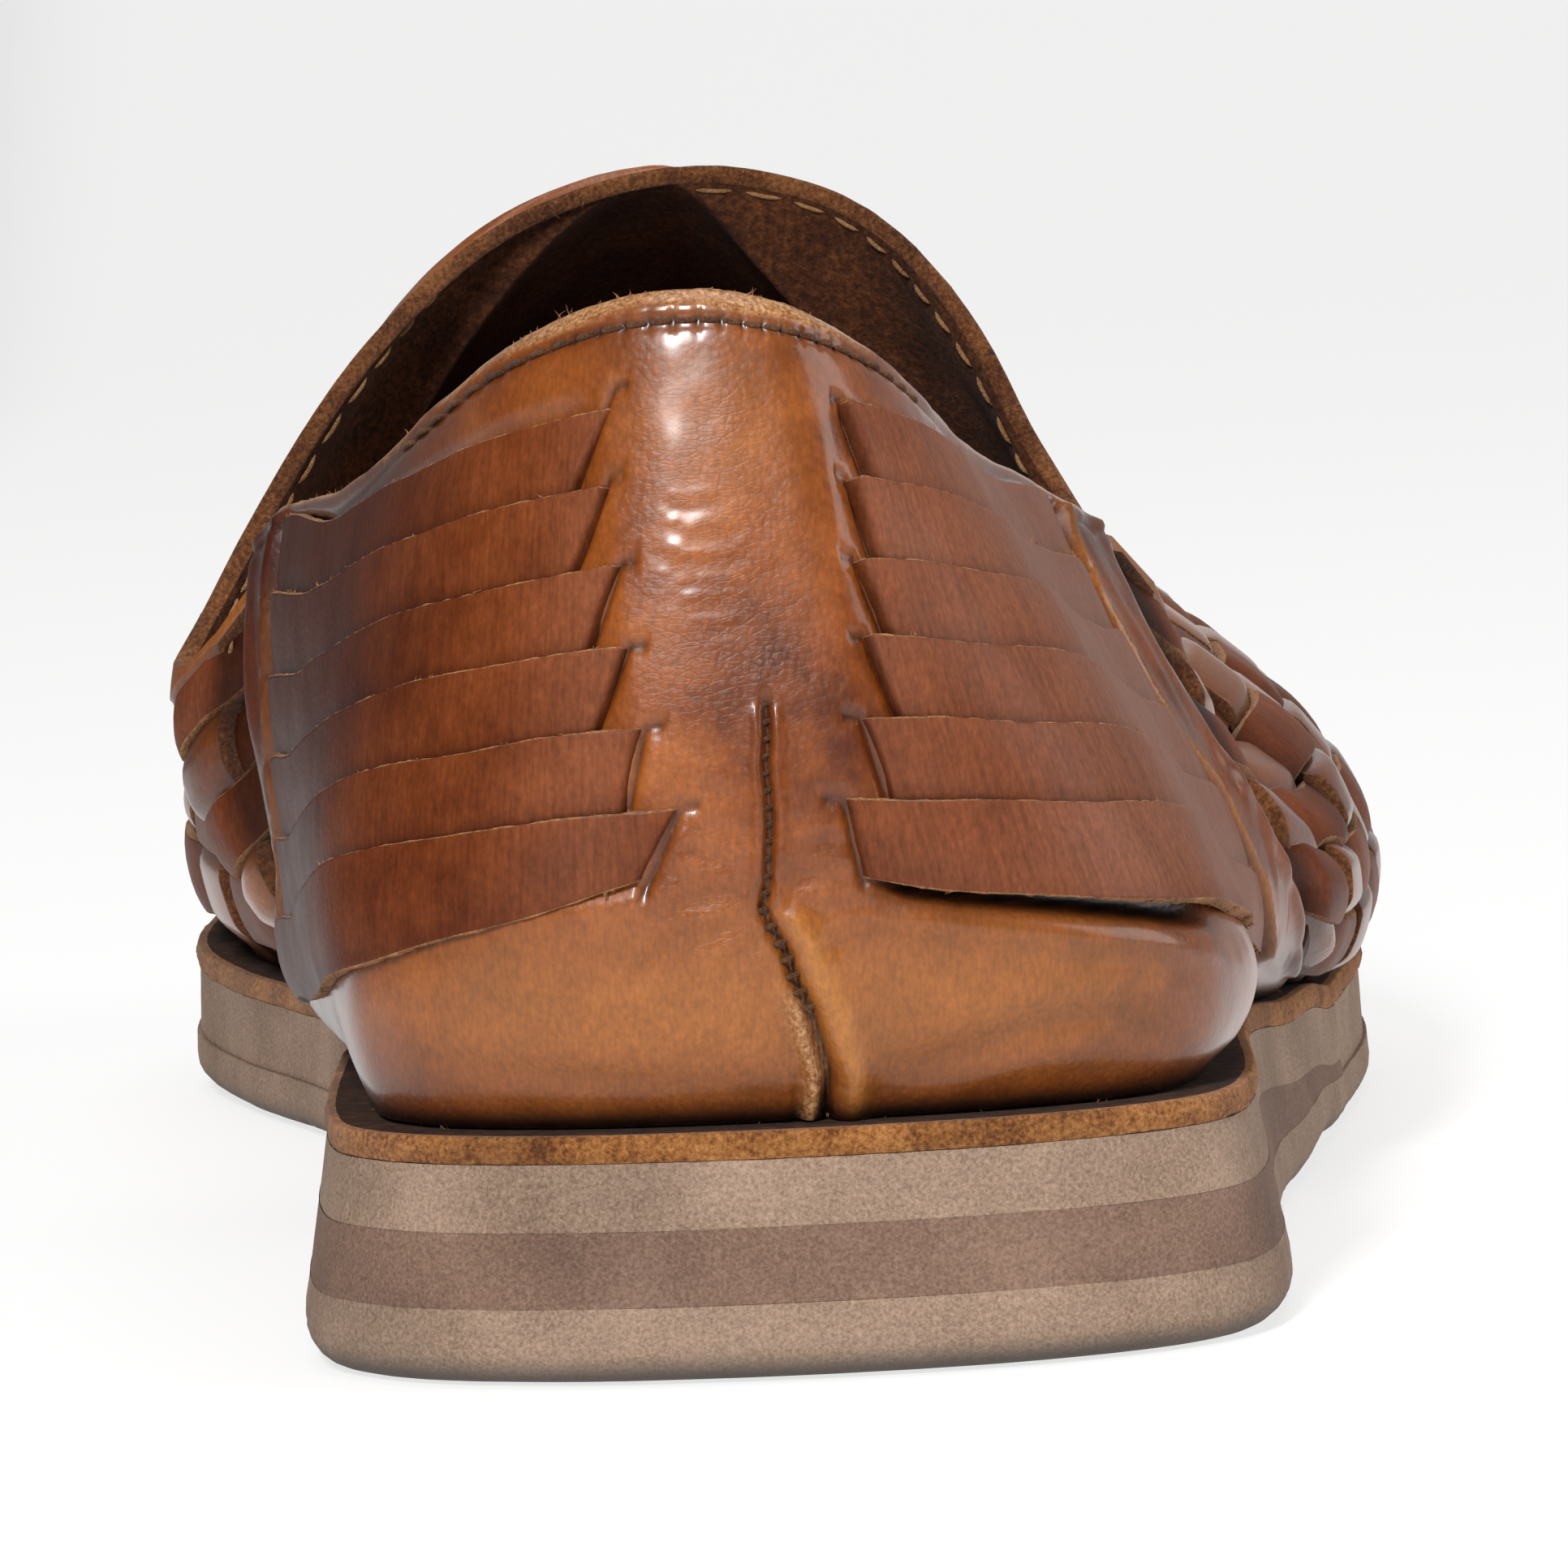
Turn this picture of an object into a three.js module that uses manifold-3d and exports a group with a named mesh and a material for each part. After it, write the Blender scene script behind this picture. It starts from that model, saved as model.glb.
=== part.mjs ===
// Woven slip-on huarache, right shoe, in millimetres. +Y points to the toe, +X to the little-toe side, +Z up.
import * as THREE from 'three';
import { mergeVertices } from 'three/addons/utils/BufferGeometryUtils.js';
import Module from 'manifold-3d';

const wasm = await Module();
wasm.setup();

// Driving dimensions
const soleLength = 288;
const ballWidth = 106;
const heelWidth = 69;
const collarHeight = 60; // back of the collar above the leather board
const instepHeight = 69.5; // throat's crest above the leather board
const seatGap = 0.3; // between pieces that meet
const sectionReach = 20; // fullness of the upper's sections

const outsoleHeel = 5.6;
const outsoleFore = 4.6;
const wedgeHeel = 5.1;
const wedgeTip = 0.8;
const wedgeEnd = 140; // from the heel
const taperFrom = 58;
const foamThickness = 4.7;
const boardThickness = 1.8;
const insoleThickness = 2;
const heelFlare = 2.8; // how far the sole's foot stands out past its top edge
const foreFlare = 0.8;
const edgeRound = 3; // rounding under the sole's edge
const archRise = 1;
const archFrom = 98;
const archTo = 138;
const springRise = 11;
const springFrom = 188;
const treadDepth = 1.2;
const treadWidth = 2.6;
const treadPitch = 17;
const cutMargin = 20; // how far a cutting block stands past what it cuts

const wall = 2.2; // leather with its lining
const stripRaise = 1.3; // a strip that passes over another
const bandRaise = 2.4; // wing's front margin over the side strips
const hoopCount = 6;
const ribCount = 13; // each side, beside the one at the toe
const ribShare = 0.64; // rib's width within its pitch
const stripThickness = 1;
const stripLift = 1.1; // upper edge of a side strip over its lower edge
const heelInset = 4; // upper's foot inside the board's edge
const waistInset = 1.5;
const foreInset = 3.5;

// Marks along each side, as shares of the way round from the heel's centre to the toe's
const slitFoot = 0.031; // slits start here at the lowest side strip
const slitHead = 0.044; // and here at the highest
const slitSlant = 0.009;
const bandRearAt = 0.315;
const bandFrontAt = 0.345;
const ribPitch = (1 - bandFrontAt) / (ribCount + 1 - ribShare / 2);
const ribWidth = ribShare * ribPitch;
const throatRibs = 3; // ribs between wing and throat crest
const throatAt = bandFrontAt + (throatRibs + 1) * ribPitch - ribWidth;

// Sole outline at the board, from the heel's centre by the little-toe side to the toe and back
const outlineRows = [
  { along: 0, across: 0, of: heelWidth },
  { along: 0.008, across: 0.27, of: heelWidth },
  { along: 0.035, across: 0.455, of: heelWidth },
  { along: 0.09, across: 0.52, of: heelWidth },
  { along: 0.2, across: 0.54, of: heelWidth },
  { along: 0.3, across: 0.585, of: heelWidth },
  { along: 0.39, across: 0.43, of: ballWidth },
  { along: 0.49, across: 0.475, of: ballWidth },
  { along: 0.6, across: 0.515, of: ballWidth },
  { along: 0.7, across: 0.515, of: ballWidth },
  { along: 0.79, across: 0.465, of: ballWidth },
  { along: 0.87, across: 0.375, of: ballWidth },
  { along: 0.935, across: 0.25, of: ballWidth },
  { along: 0.98, across: 0.1, of: ballWidth },
  { along: 1, across: -0.06, of: ballWidth },
  { along: 0.98, across: -0.21, of: ballWidth },
  { along: 0.93, across: -0.335, of: ballWidth },
  { along: 0.85, across: -0.44, of: ballWidth },
  { along: 0.75, across: -0.485, of: ballWidth },
  { along: 0.66, across: -0.44, of: ballWidth },
  { along: 0.57, across: -0.365, of: ballWidth },
  { along: 0.48, across: -0.32, of: ballWidth },
  { along: 0.38, across: -0.475, of: heelWidth },
  { along: 0.26, across: -0.49, of: heelWidth },
  { along: 0.09, across: -0.495, of: heelWidth },
  { along: 0.035, across: -0.435, of: heelWidth },
  { along: 0.008, across: -0.26, of: heelWidth },
];
const toeRow = 14;

// Topline of the wings: at runs from the heel's centre to the wing's front edge
const collarLine = {
  lateral: [
    { at: 0, across: -0.02, along: 0.021, rise: 1 },
    { at: 0.12, across: 0.035, along: 0.025, rise: 0.99 },
    { at: 0.24, across: 0.08, along: 0.045, rise: 0.95 },
    { at: 0.36, across: 0.115, along: 0.085, rise: 0.885 },
    { at: 0.48, across: 0.14, along: 0.128, rise: 0.825 },
    { at: 0.64, across: 0.175, along: 0.183, rise: 0.765 },
    { at: 0.82, across: 0.226, along: 0.26, rise: 0.71 },
    { at: 0.94, across: 0.264, along: 0.312, rise: 0.68 },
    { at: 1, across: 0.288, along: 0.335, rise: 0.645 },
  ],
  medial: [
    { at: 0, across: -0.02, along: 0.021, rise: 1 },
    { at: 0.12, across: -0.09, along: 0.026, rise: 0.985 },
    { at: 0.24, across: -0.16, along: 0.045, rise: 0.945 },
    { at: 0.36, across: -0.218, along: 0.083, rise: 0.88 },
    { at: 0.48, across: -0.258, along: 0.128, rise: 0.82 },
    { at: 0.64, across: -0.297, along: 0.185, rise: 0.757 },
    { at: 0.82, across: -0.332, along: 0.256, rise: 0.735 },
    { at: 0.94, across: -0.356, along: 0.305, rise: 0.73 },
    { at: 1, across: -0.373, along: 0.328, rise: 0.69 },
  ],
};

// Dip ahead of the wing and the throat's arch: at runs from the wing's front edge to the crest
const archLine = {
  lateral: [
    { at: 0, across: 0.288, along: 0.335, rise: 0.555 },
    { at: 0.11, across: 0.305, along: 0.35, rise: 0.49 },
    { at: 0.3, across: 0.312, along: 0.364, rise: 0.465 },
    { at: 0.4, across: 0.278, along: 0.375, rise: 0.53 },
    { at: 0.6, across: 0.218, along: 0.393, rise: 0.67 },
    { at: 0.7, across: 0.178, along: 0.405, rise: 0.8 },
    { at: 0.89, across: 0.085, along: 0.428, rise: 0.955 },
    { at: 1, across: -0.038, along: 0.434, rise: 1 },
  ],
  medial: [
    { at: 0, across: -0.373, along: 0.328, rise: 0.596 },
    { at: 0.11, across: -0.405, along: 0.345, rise: 0.48 },
    { at: 0.3, across: -0.432, along: 0.362, rise: 0.45 },
    { at: 0.4, across: -0.41, along: 0.375, rise: 0.51 },
    { at: 0.6, across: -0.345, along: 0.393, rise: 0.66 },
    { at: 0.7, across: -0.283, along: 0.405, rise: 0.785 },
    { at: 0.89, across: -0.165, along: 0.428, rise: 0.935 },
    { at: 1, across: -0.038, along: 0.434, rise: 1 },
  ],
};

// Crest of the vamp: at runs from the throat to the toe's centre
const crestLine = [
  { at: 0, across: -0.038, along: 0.434, rise: 1 },
  { at: 0.1, across: -0.038, along: 0.462, rise: 0.965 },
  { at: 0.25, across: -0.033, along: 0.514, rise: 0.89 },
  { at: 0.42, across: -0.028, along: 0.576, rise: 0.79 },
  { at: 0.58, across: -0.024, along: 0.639, rise: 0.69 },
  { at: 0.74, across: -0.02, along: 0.694, rise: 0.6 },
  { at: 0.88, across: -0.02, along: 0.733, rise: 0.535 },
  { at: 1, across: -0.02, along: 0.757, rise: 0.5 },
];

// Belly and shoulder of each section: how far its two handles stand out of foot and topline and how far up,
// as shares of sectionReach
const sectionRows = {
  lateral: [
    { at: 0, bellyOut: 0.35, bellyUp: 0.9, shoulderOut: 0.2, shoulderUp: -1.1 },
    { at: 0.08, bellyOut: 0.35, bellyUp: 0.8, shoulderOut: 0.4, shoulderUp: -1.2 },
    { at: 0.16, bellyOut: 0.375, bellyUp: 0.7, shoulderOut: 0.35, shoulderUp: -1 },
    { at: 0.28, bellyOut: 0.325, bellyUp: 0.55, shoulderOut: 0.225, shoulderUp: -0.75 },
    { at: 0.375, bellyOut: 0.6, bellyUp: 0.6, shoulderOut: 0.25, shoulderUp: -0.5 },
    { at: 0.44, bellyOut: 0.75, bellyUp: 0.7, shoulderOut: 0.2, shoulderUp: -0.75 },
    { at: 0.52, bellyOut: 0.95, bellyUp: 0.8, shoulderOut: 0.4, shoulderUp: -0.8 },
    { at: 0.7, bellyOut: 0.9, bellyUp: 0.85, shoulderOut: 0.65, shoulderUp: -0.45 },
    { at: 0.85, bellyOut: 0.65, bellyUp: 0.85, shoulderOut: 1.15, shoulderUp: -0.2 },
    { at: 1, bellyOut: 0.4, bellyUp: 0.8, shoulderOut: 1.5, shoulderUp: -0.35 },
  ],
  medial: [
    { at: 0, bellyOut: 0.35, bellyUp: 0.9, shoulderOut: 0.2, shoulderUp: -1.1 },
    { at: 0.08, bellyOut: 0.35, bellyUp: 0.8, shoulderOut: 0.25, shoulderUp: -1.2 },
    { at: 0.16, bellyOut: 0.3, bellyUp: 0.7, shoulderOut: 0.25, shoulderUp: -1 },
    { at: 0.28, bellyOut: 0.325, bellyUp: 0.6, shoulderOut: 0.175, shoulderUp: -0.75 },
    { at: 0.375, bellyOut: 0.55, bellyUp: 0.7, shoulderOut: 0.1, shoulderUp: -0.5 },
    { at: 0.44, bellyOut: 0.8, bellyUp: 1, shoulderOut: 0.25, shoulderUp: -0.6 },
    { at: 0.52, bellyOut: 0.9, bellyUp: 1.1, shoulderOut: 1, shoulderUp: -0.3 },
    { at: 0.7, bellyOut: 0.65, bellyUp: 1.05, shoulderOut: 1.3, shoulderUp: -0.1 },
    { at: 0.85, bellyOut: 0.5, bellyUp: 0.9, shoulderOut: 1.4, shoulderUp: -0.1 },
    { at: 1, bellyOut: 0.4, bellyUp: 0.8, shoulderOut: 1.5, shoulderUp: -0.35 },
  ],
};

// Where the lengthwise strips lie on a section, as shares of its girth from the sole up
const weaveRows = [
  { at: 0, low: 0.295, high: 0.865 },
  { at: 0.06, low: 0.285, high: 0.865 },
  { at: 0.16, low: 0.21, high: 0.88 },
  { at: 0.25, low: 0.12, high: 0.92 },
  { at: 0.345, low: 0.07, high: 0.95 },
  { at: 0.385, low: 0.05, high: 0.95 },
  { at: 0.43, low: 0.05, high: 0.62 },
  { at: 0.5, low: 0.05, high: 0.46 },
  { at: 0.6, low: 0.05, high: 0.53 },
  { at: 0.72, low: 0.05, high: 0.62 },
  { at: 0.86, low: 0.05, high: 0.68 },
  { at: 1, low: 0.06, high: 0.7 },
];
const hoopShare = 0.74; // strip's width within its pitch

const insetRows = [
  { at: 0, inset: heelInset },
  { at: 0.2, inset: heelInset * 0.8 },
  { at: 0.34, inset: waistInset },
  { at: 0.45, inset: waistInset },
  { at: 0.65, inset: foreInset },
  { at: 1, inset: foreInset },
];

// Smooth value of one column of a table, by cubic pieces through its rows
function along(rows, column, at) {
  const last = rows.length - 1;
  let k = 0;
  while (k < last - 1 && at > rows[k + 1].at) k += 1;
  const slope = (i) => {
    const a = rows[Math.max(i - 1, 0)];
    const b = rows[Math.min(i + 1, last)];
    return (b[column] - a[column]) / (b.at - a.at);
  };
  const span = rows[k + 1].at - rows[k].at;
  const s = THREE.MathUtils.clamp((at - rows[k].at) / span, 0, 1);
  const s2 = s * s;
  const s3 = s2 * s;
  return (
    (2 * s3 - 3 * s2 + 1) * rows[k][column] +
    (s3 - 2 * s2 + s) * span * slope(k) +
    (3 * s2 - 2 * s3) * rows[k + 1][column] +
    (s3 - s2) * span * slope(k + 1)
  );
}

const ease = (from, to, value) => THREE.MathUtils.smoothstep(value, from, to);

// Sole outline
const outline = new THREE.CatmullRomCurve3(
  outlineRows.map((row) => new THREE.Vector3(row.across * row.of, row.along * soleLength, 0)),
  true,
  'catmullrom',
  0.5,
);
outline.arcLengthDivisions = 800;
const lengths = outline.getLengths(800);
const toeShare = lengths[Math.round((800 * toeRow) / outlineRows.length)] / lengths[800];

// turn runs from -1 to 1: 0 is the heel's centre, positive the little-toe side, 1 and -1 the toe
function outlinePoint(turn, out = 0) {
  const share = turn >= 0 ? turn * toeShare : 1 + turn * (1 - toeShare);
  const u = THREE.MathUtils.euclideanModulo(share, 1);
  const point = outline.getPointAt(u);
  const tangent = outline.getTangentAt(u);
  point.x += tangent.y * out;
  point.y -= tangent.x * out;
  return { point, normal: new THREE.Vector3(tangent.y, -tangent.x, 0) };
}

// Heights of the sole's layers over the floor
const soleFoot = (y) => {
  const hollow = Math.sin(Math.PI * THREE.MathUtils.clamp((y - archFrom) / (archTo - archFrom), 0, 1));
  const spring = Math.max(0, (y - springFrom) / (soleLength - springFrom));
  return archRise * hollow * hollow + springRise * spring * spring;
};
const heelToFore = (y) => ease(taperFrom, wedgeEnd, y);
const outsoleTop = (y) => soleFoot(y) + THREE.MathUtils.lerp(outsoleHeel, outsoleFore, heelToFore(y));
const wedgeFoot = (y) => outsoleTop(y) + seatGap;
const wedgeTop = (y) => wedgeFoot(y) + THREE.MathUtils.lerp(wedgeHeel, wedgeTip, ease(taperFrom, wedgeEnd, y));
const foamTop = (y) => wedgeTop(y) + seatGap + foamThickness;
const boardFoot = (y) => foamTop(y) + seatGap;
const boardTop = (y) => boardFoot(y) + boardThickness;
const seatHeight = (y) => boardTop(y) + seatGap;

// Topline or crest point of a section
function topPoint(turn) {
  const at = Math.abs(turn);
  const side = turn >= 0 ? 'lateral' : 'medial';
  let rows = crestLine;
  let local = (at - throatAt) / (1 - throatAt);
  let height = instepHeight;
  if (at < bandFrontAt) {
    rows = collarLine[side];
    local = at / bandFrontAt;
    height = collarHeight;
  } else if (at < throatAt) {
    rows = archLine[side];
    local = (at - bandFrontAt) / (throatAt - bandFrontAt);
  }
  const y = along(rows, 'along', local) * soleLength;
  return new THREE.Vector3(
    along(rows, 'across', local) * ballWidth,
    y,
    seatHeight(y) + along(rows, 'rise', local) * height,
  );
}

// One section of the last, as a cubic from its foot to its top, with its girth measured
const girthSteps = 24;
const sections = new Map();
function section(turn) {
  const wrapped = turn > 1 ? turn - 2 : turn < -1 ? turn + 2 : turn;
  const key = wrapped.toFixed(6);
  if (sections.has(key)) return sections.get(key);
  const at = Math.abs(wrapped);
  const rows = sectionRows[wrapped >= 0 ? 'lateral' : 'medial'];
  const { point: foot, normal } = outlinePoint(wrapped, -along(insetRows, 'inset', at));
  foot.z = seatHeight(foot.y);
  const top = topPoint(wrapped);
  const belly = foot.clone().addScaledVector(normal, sectionReach * along(rows, 'bellyOut', at));
  belly.z += sectionReach * along(rows, 'bellyUp', at);
  const shoulder = top.clone().addScaledVector(normal, sectionReach * along(rows, 'shoulderOut', at));
  shoulder.z += sectionReach * along(rows, 'shoulderUp', at);
  const curve = new THREE.CubicBezierCurve3(foot, belly, shoulder, top);
  curve.arcLengthDivisions = girthSteps;
  sections.set(key, curve);
  return curve;
}

const lastPoint = (turn, girth) => section(turn).getPointAt(THREE.MathUtils.clamp(girth, 0, 1));

// Outward normal of the last; the crest's lies in its own long plane
function lastNormal(turn, girth) {
  const step = 0.002;
  const alongWay = lastPoint(turn + step, girth).sub(lastPoint(turn - step, girth));
  if (Math.abs(turn) >= throatAt - step && girth > 1 - step) {
    const ahead = topPoint(Math.min(Math.abs(turn) + step, 1));
    const behind = topPoint(Math.max(Math.abs(turn) - step, throatAt));
    const slope = ahead.sub(behind);
    return new THREE.Vector3(0, -slope.z, slope.y).normalize();
  }
  const upWay = lastPoint(turn, girth + step).sub(lastPoint(turn, girth - step));
  return alongWay.cross(upWay).normalize();
}

const offLast = (turn, girth, lift) =>
  lastPoint(turn, girth).addScaledVector(lastNormal(turn, girth), lift);

// Row lines of the wall: foot, margin, both edges of each lengthwise strip, plug, top
const rowLines = 2 + 2 * hoopCount + 2;
function rowGirth(turn, line) {
  const at = Math.abs(turn);
  const low = along(weaveRows, 'low', at);
  const high = along(weaveRows, 'high', at);
  if (line === 0) return 0;
  if (line === 1) return low / 2;
  if (line === rowLines - 1) return 1;
  if (line === rowLines - 2) return (high + 1) / 2;
  const hoop = Math.floor((line - 2) / 2);
  const pitch = (high - low) / (hoopCount - 1 + hoopShare);
  return low + pitch * (hoop + (line % 2 ? hoopShare : 0));
}

// Column lines of the wall along one side: counter, wing's margin, then gap and rib by turns
const counterColumns = [0, 0.029, 0.06, 0.09, 0.12, 0.15, 0.183, 0.216, 0.25, 0.283, bandRearAt];
const columns = [...counterColumns, bandFrontAt];
for (let rib = 1; rib <= ribCount + 1; rib += 1) {
  columns.push(bandFrontAt + rib * ribPitch - ribWidth);
  columns.push(rib > ribCount ? 1 : bandFrontAt + rib * ribPitch);
}
const sideCount = columns.length - 1;
const loopCount = 2 * sideCount;
const turnOf = (c) => (c <= sideCount ? columns[c] : -columns[loopCount - c]);
const bandCell = counterColumns.length - 1;
const throatCell = columns.findIndex((at) => Math.abs(at - throatAt) < 1e-9);

// What a cell of the wall is, and how high its corners stand over the last
const sideCell = (c) => (c < sideCount ? c : loopCount - 1 - c);
function cellLevels(c, r) {
  const k = sideCell(c);
  const flat = (lift) => [lift, lift, lift, lift];
  if (k < bandCell) return flat(0);
  if (k === bandCell) {
    if (r === 1) return [0, 0, bandRaise, bandRaise];
    return flat(r < 1 ? 0 : bandRaise);
  }
  const step = k - bandCell - 1;
  const isRib = step % 2 === 1;
  const rib = Math.floor(step / 2);
  const isHoop = r >= 2 && r < 2 + 2 * hoopCount && r % 2 === 0;
  const hoop = Math.floor((r - 2) / 2);
  const ribOver = (i, j) => (i + j) % 2 === 0;
  if (r >= 1 + 2 * hoopCount) return flat(stripRaise);
  let levels;
  if (isRib && isHoop) levels = flat(stripRaise);
  else if (isRib) {
    const below = r > 1 && ribOver(rib, hoop) ? stripRaise : 0;
    const above = r > 0 && ribOver(rib, r < 2 ? 0 : hoop + 1) ? stripRaise : 0;
    levels = [below, below, above, above];
  } else if (isHoop) {
    const behind = step > 0 && !ribOver(rib - 1, hoop) ? stripRaise : 0;
    const ahead = !ribOver(rib, hoop) ? stripRaise : 0;
    levels = [behind, ahead, ahead, behind];
  } else {
    const crowded = r < 2 || hoop >= hoopCount - 2;
    return crowded ? flat(0) : null;
  }
  if (c < sideCount) return levels;
  return [levels[1], levels[0], levels[3], levels[2]];
}

// The hollow wall as one closed mesh of cells: outer and inner faces, and an upright face at every step and hole
function buildUpper() {
  const cells = [];
  const rowCells = rowLines - 1;
  for (let c = 0; c < loopCount; c += 1) {
    cells.push(Array.from({ length: rowCells }, (_, r) => cellLevels(c, r)));
  }
  const node = (c, r) => {
    const column = (c + loopCount) % loopCount;
    const onCrest = r === rowLines - 1 && sideIndex(column) >= throatCell;
    return `${onCrest ? sideIndex(column) : column},${r}`;
  };
  const used = new Map();
  const corners = (c, r) => [[c, r], [c + 1, r], [c + 1, r + 1], [c, r + 1]];
  const note = (name, lift) => {
    if (!used.has(name)) used.set(name, new Set([-wall]));
    used.get(name).add(lift);
  };
  cells.forEach((column, c) => column.forEach((levels, r) => {
    if (levels) corners(c, r).forEach(([i, j], n) => note(node(i, j), levels[n]));
  }));
  const vertices = [];
  const found = new Map();
  const vertex = (c, r, lift) => {
    const name = `${node(c, r)},${lift}`;
    if (!found.has(name)) {
      const column = (c + loopCount) % loopCount;
      const turn = turnOf(column);
      const point = offLast(turn, rowGirth(turn, r), lift);
      found.set(name, vertices.length / 3);
      vertices.push(point.x, point.y, point.z);
    }
    return found.get(name);
  };
  const index = [];
  const face = (...corner) => {
    if (new Set(corner).size === 3) index.push(...corner);
  };
  const chain = (c, r, low, high) => {
    const between = [...used.get(node(c, r))].filter((lift) => lift > low && lift < high);
    const lifts = [low, ...between.sort((p, q) => p - q), high];
    return (low === high ? [low] : lifts).map((lift) => vertex(c, r, lift));
  };
  const upright = (a, b, high, low) => {
    const left = chain(...a, low[0], high[0]);
    const right = chain(...b, low[1], high[1]);
    let i = 0;
    let j = 0;
    while (i < left.length - 1 || j < right.length - 1) {
      if (j === right.length - 1 || (i < left.length - 1 && i <= j)) {
        face(left[i + 1], left[i], right[j]);
        i += 1;
      } else {
        face(right[j], right[j + 1], left[i]);
        j += 1;
      }
    }
  };
  const meet = (a, b, near, far) => {
    if (near[0] > far[0] || near[1] > far[1]) upright(a, b, near, far);
    else if (near[0] < far[0] || near[1] < far[1]) {
      upright(b, a, [far[1], far[0]], [near[1], near[0]]);
    }
  };
  const nothing = [-wall, -wall];
  cells.forEach((column, c) => column.forEach((levels, r) => {
    const [p, q, s, t] = corners(c, r);
    if (levels) {
      const outer = [p, q, s, t].map(([i, j], n) => vertex(i, j, levels[n]));
      const inner = [p, q, s, t].map(([i, j]) => vertex(i, j, -wall));
      face(outer[0], outer[1], outer[2]);
      face(outer[0], outer[2], outer[3]);
      face(inner[0], inner[2], inner[1]);
      face(inner[0], inner[3], inner[2]);
    }
    const aheadLevels = cells[(c + 1) % loopCount][r];
    const nearSide = levels ? [levels[1], levels[2]] : nothing;
    const farSide = aheadLevels ? [aheadLevels[0], aheadLevels[3]] : nothing;
    meet(q, s, nearSide, farSide);
    const isTop = r === rowCells - 1;
    const onCrest = isTop && sideCell(c) >= throatCell;
    if (!onCrest) {
      const above = isTop ? null : column[r + 1];
      const nearTop = levels ? [levels[2], levels[3]] : nothing;
      const farTop = above ? [above[1], above[0]] : nothing;
      meet(s, t, nearTop, farTop);
    }
    if (r === 0) meet(p, q, [levels[0], levels[1]], nothing);
  }));
  return meshOf(vertices, index);
}

const sideIndex = (c) => (c <= sideCount ? c : loopCount - c);

function meshOf(vertices, index) {
  const geometry = new THREE.BufferGeometry();
  geometry.setAttribute('position', new THREE.Float32BufferAttribute(vertices, 3));
  geometry.setIndex(index);
  geometry.computeVertexNormals();
  return geometry;
}

// A closed skin over rings of points with as many points each; both ends are capped by fans
function skin(rings) {
  const size = rings[0].length;
  const index = [];
  for (let k = 0; k < rings.length - 1; k += 1) {
    for (let n = 0; n < size; n += 1) {
      const a = k * size + n;
      const b = k * size + ((n + 1) % size);
      index.push(a, b, b + size, a, b + size, a + size);
    }
  }
  const end = (rings.length - 1) * size;
  for (let n = 1; n < size - 1; n += 1) {
    index.push(0, n + 1, n);
    index.push(end, end + n, end + n + 1);
  }
  return meshOf(rings.flat().flatMap((point) => point.toArray()), index);
}

// A layer of the sole: side rows up its edge, and both faces ruled from side to side
const layerSteps = 26;
function buildLayer(sideRows) {
  const turns = [];
  for (let k = 0; k < 2 * layerSteps; k += 1) {
    turns.push(k <= layerSteps ? k / layerSteps : k / layerSteps - 2);
  }
  const size = turns.length;
  const vertices = [];
  sideRows.forEach((row) => turns.forEach((turn) => {
    const { point } = outlinePoint(turn, row.out(turn));
    vertices.push(point.x, point.y, row.height(point.y));
  }));
  const index = [];
  for (let r = 0; r < sideRows.length - 1; r += 1) {
    for (let k = 0; k < size; k += 1) {
      const a = r * size + k;
      const b = r * size + ((k + 1) % size);
      index.push(a, b, b + size, a, b + size, a + size);
    }
  }
  const top = (sideRows.length - 1) * size;
  for (let k = 0; k < layerSteps; k += 1) {
    const [a, b] = [k, k + 1];
    const [c, d] = [(size - k) % size, size - k - 1];
    if (k > 0) index.push(top + a, top + b, top + c, a, c, b);
    if (k < layerSteps - 1) index.push(top + b, top + d, top + c, b, c, d);
  }
  return meshOf(vertices, index);
}

// The sole's side: flared towards the floor and rounded under
const flareOf = (turn) => THREE.MathUtils.lerp(heelFlare, foreFlare, ease(0.2, 0.5, Math.abs(turn)));
const sideOut = (height) => (turn) => {
  const full = outsoleHeel + wedgeHeel + foamThickness + 2 * seatGap;
  const under = THREE.MathUtils.clamp(1 - height / edgeRound, 0, 1);
  return flareOf(turn) * (1 - height / full) - edgeRound * (1 - Math.sqrt(1 - under * under));
};
const rowAt = (height, surface) => ({ out: sideOut(height), height: surface });

function toManifold(geometry) {
  const bare = geometry.clone();
  bare.deleteAttribute('normal');
  bare.deleteAttribute('uv');
  const merged = mergeVertices(bare, 1e-4);
  return new wasm.Manifold(new wasm.Mesh({
    numProp: 3,
    vertProperties: new Float32Array(merged.attributes.position.array),
    triVerts: new Uint32Array(merged.index.array),
  }));
}

function fromManifold(solid) {
  const mesh = solid.getMesh();
  return meshOf(Array.from(mesh.vertProperties), Array.from(mesh.triVerts));
}

const cutAcross = ballWidth + 2 * cutMargin;
function block(size, center) {
  const box = new THREE.BoxGeometry(...size);
  box.translate(...center);
  return toManifold(box);
}

function buildOutsole() {
  const low = (lift) => (y) => soleFoot(y) + lift;
  let solid = toManifold(buildLayer([
    rowAt(0, low(0)),
    rowAt(edgeRound * 0.25, low(edgeRound * 0.25)),
    rowAt(edgeRound, low(edgeRound)),
    rowAt(outsoleHeel, outsoleTop),
  ]));
  // Cross grooves, none of them at the two flat rests
  const grooves = [];
  for (let y = treadPitch * 1.5; y < archFrom; y += treadPitch) grooves.push(y);
  for (let y = archTo + treadPitch; y < springFrom; y += treadPitch) grooves.push(y);
  for (const y of grooves) {
    solid = solid.subtract(block([cutAcross, treadWidth, 2 * treadDepth], [0, y, 0]));
  }
  return fromManifold(solid);
}

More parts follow.
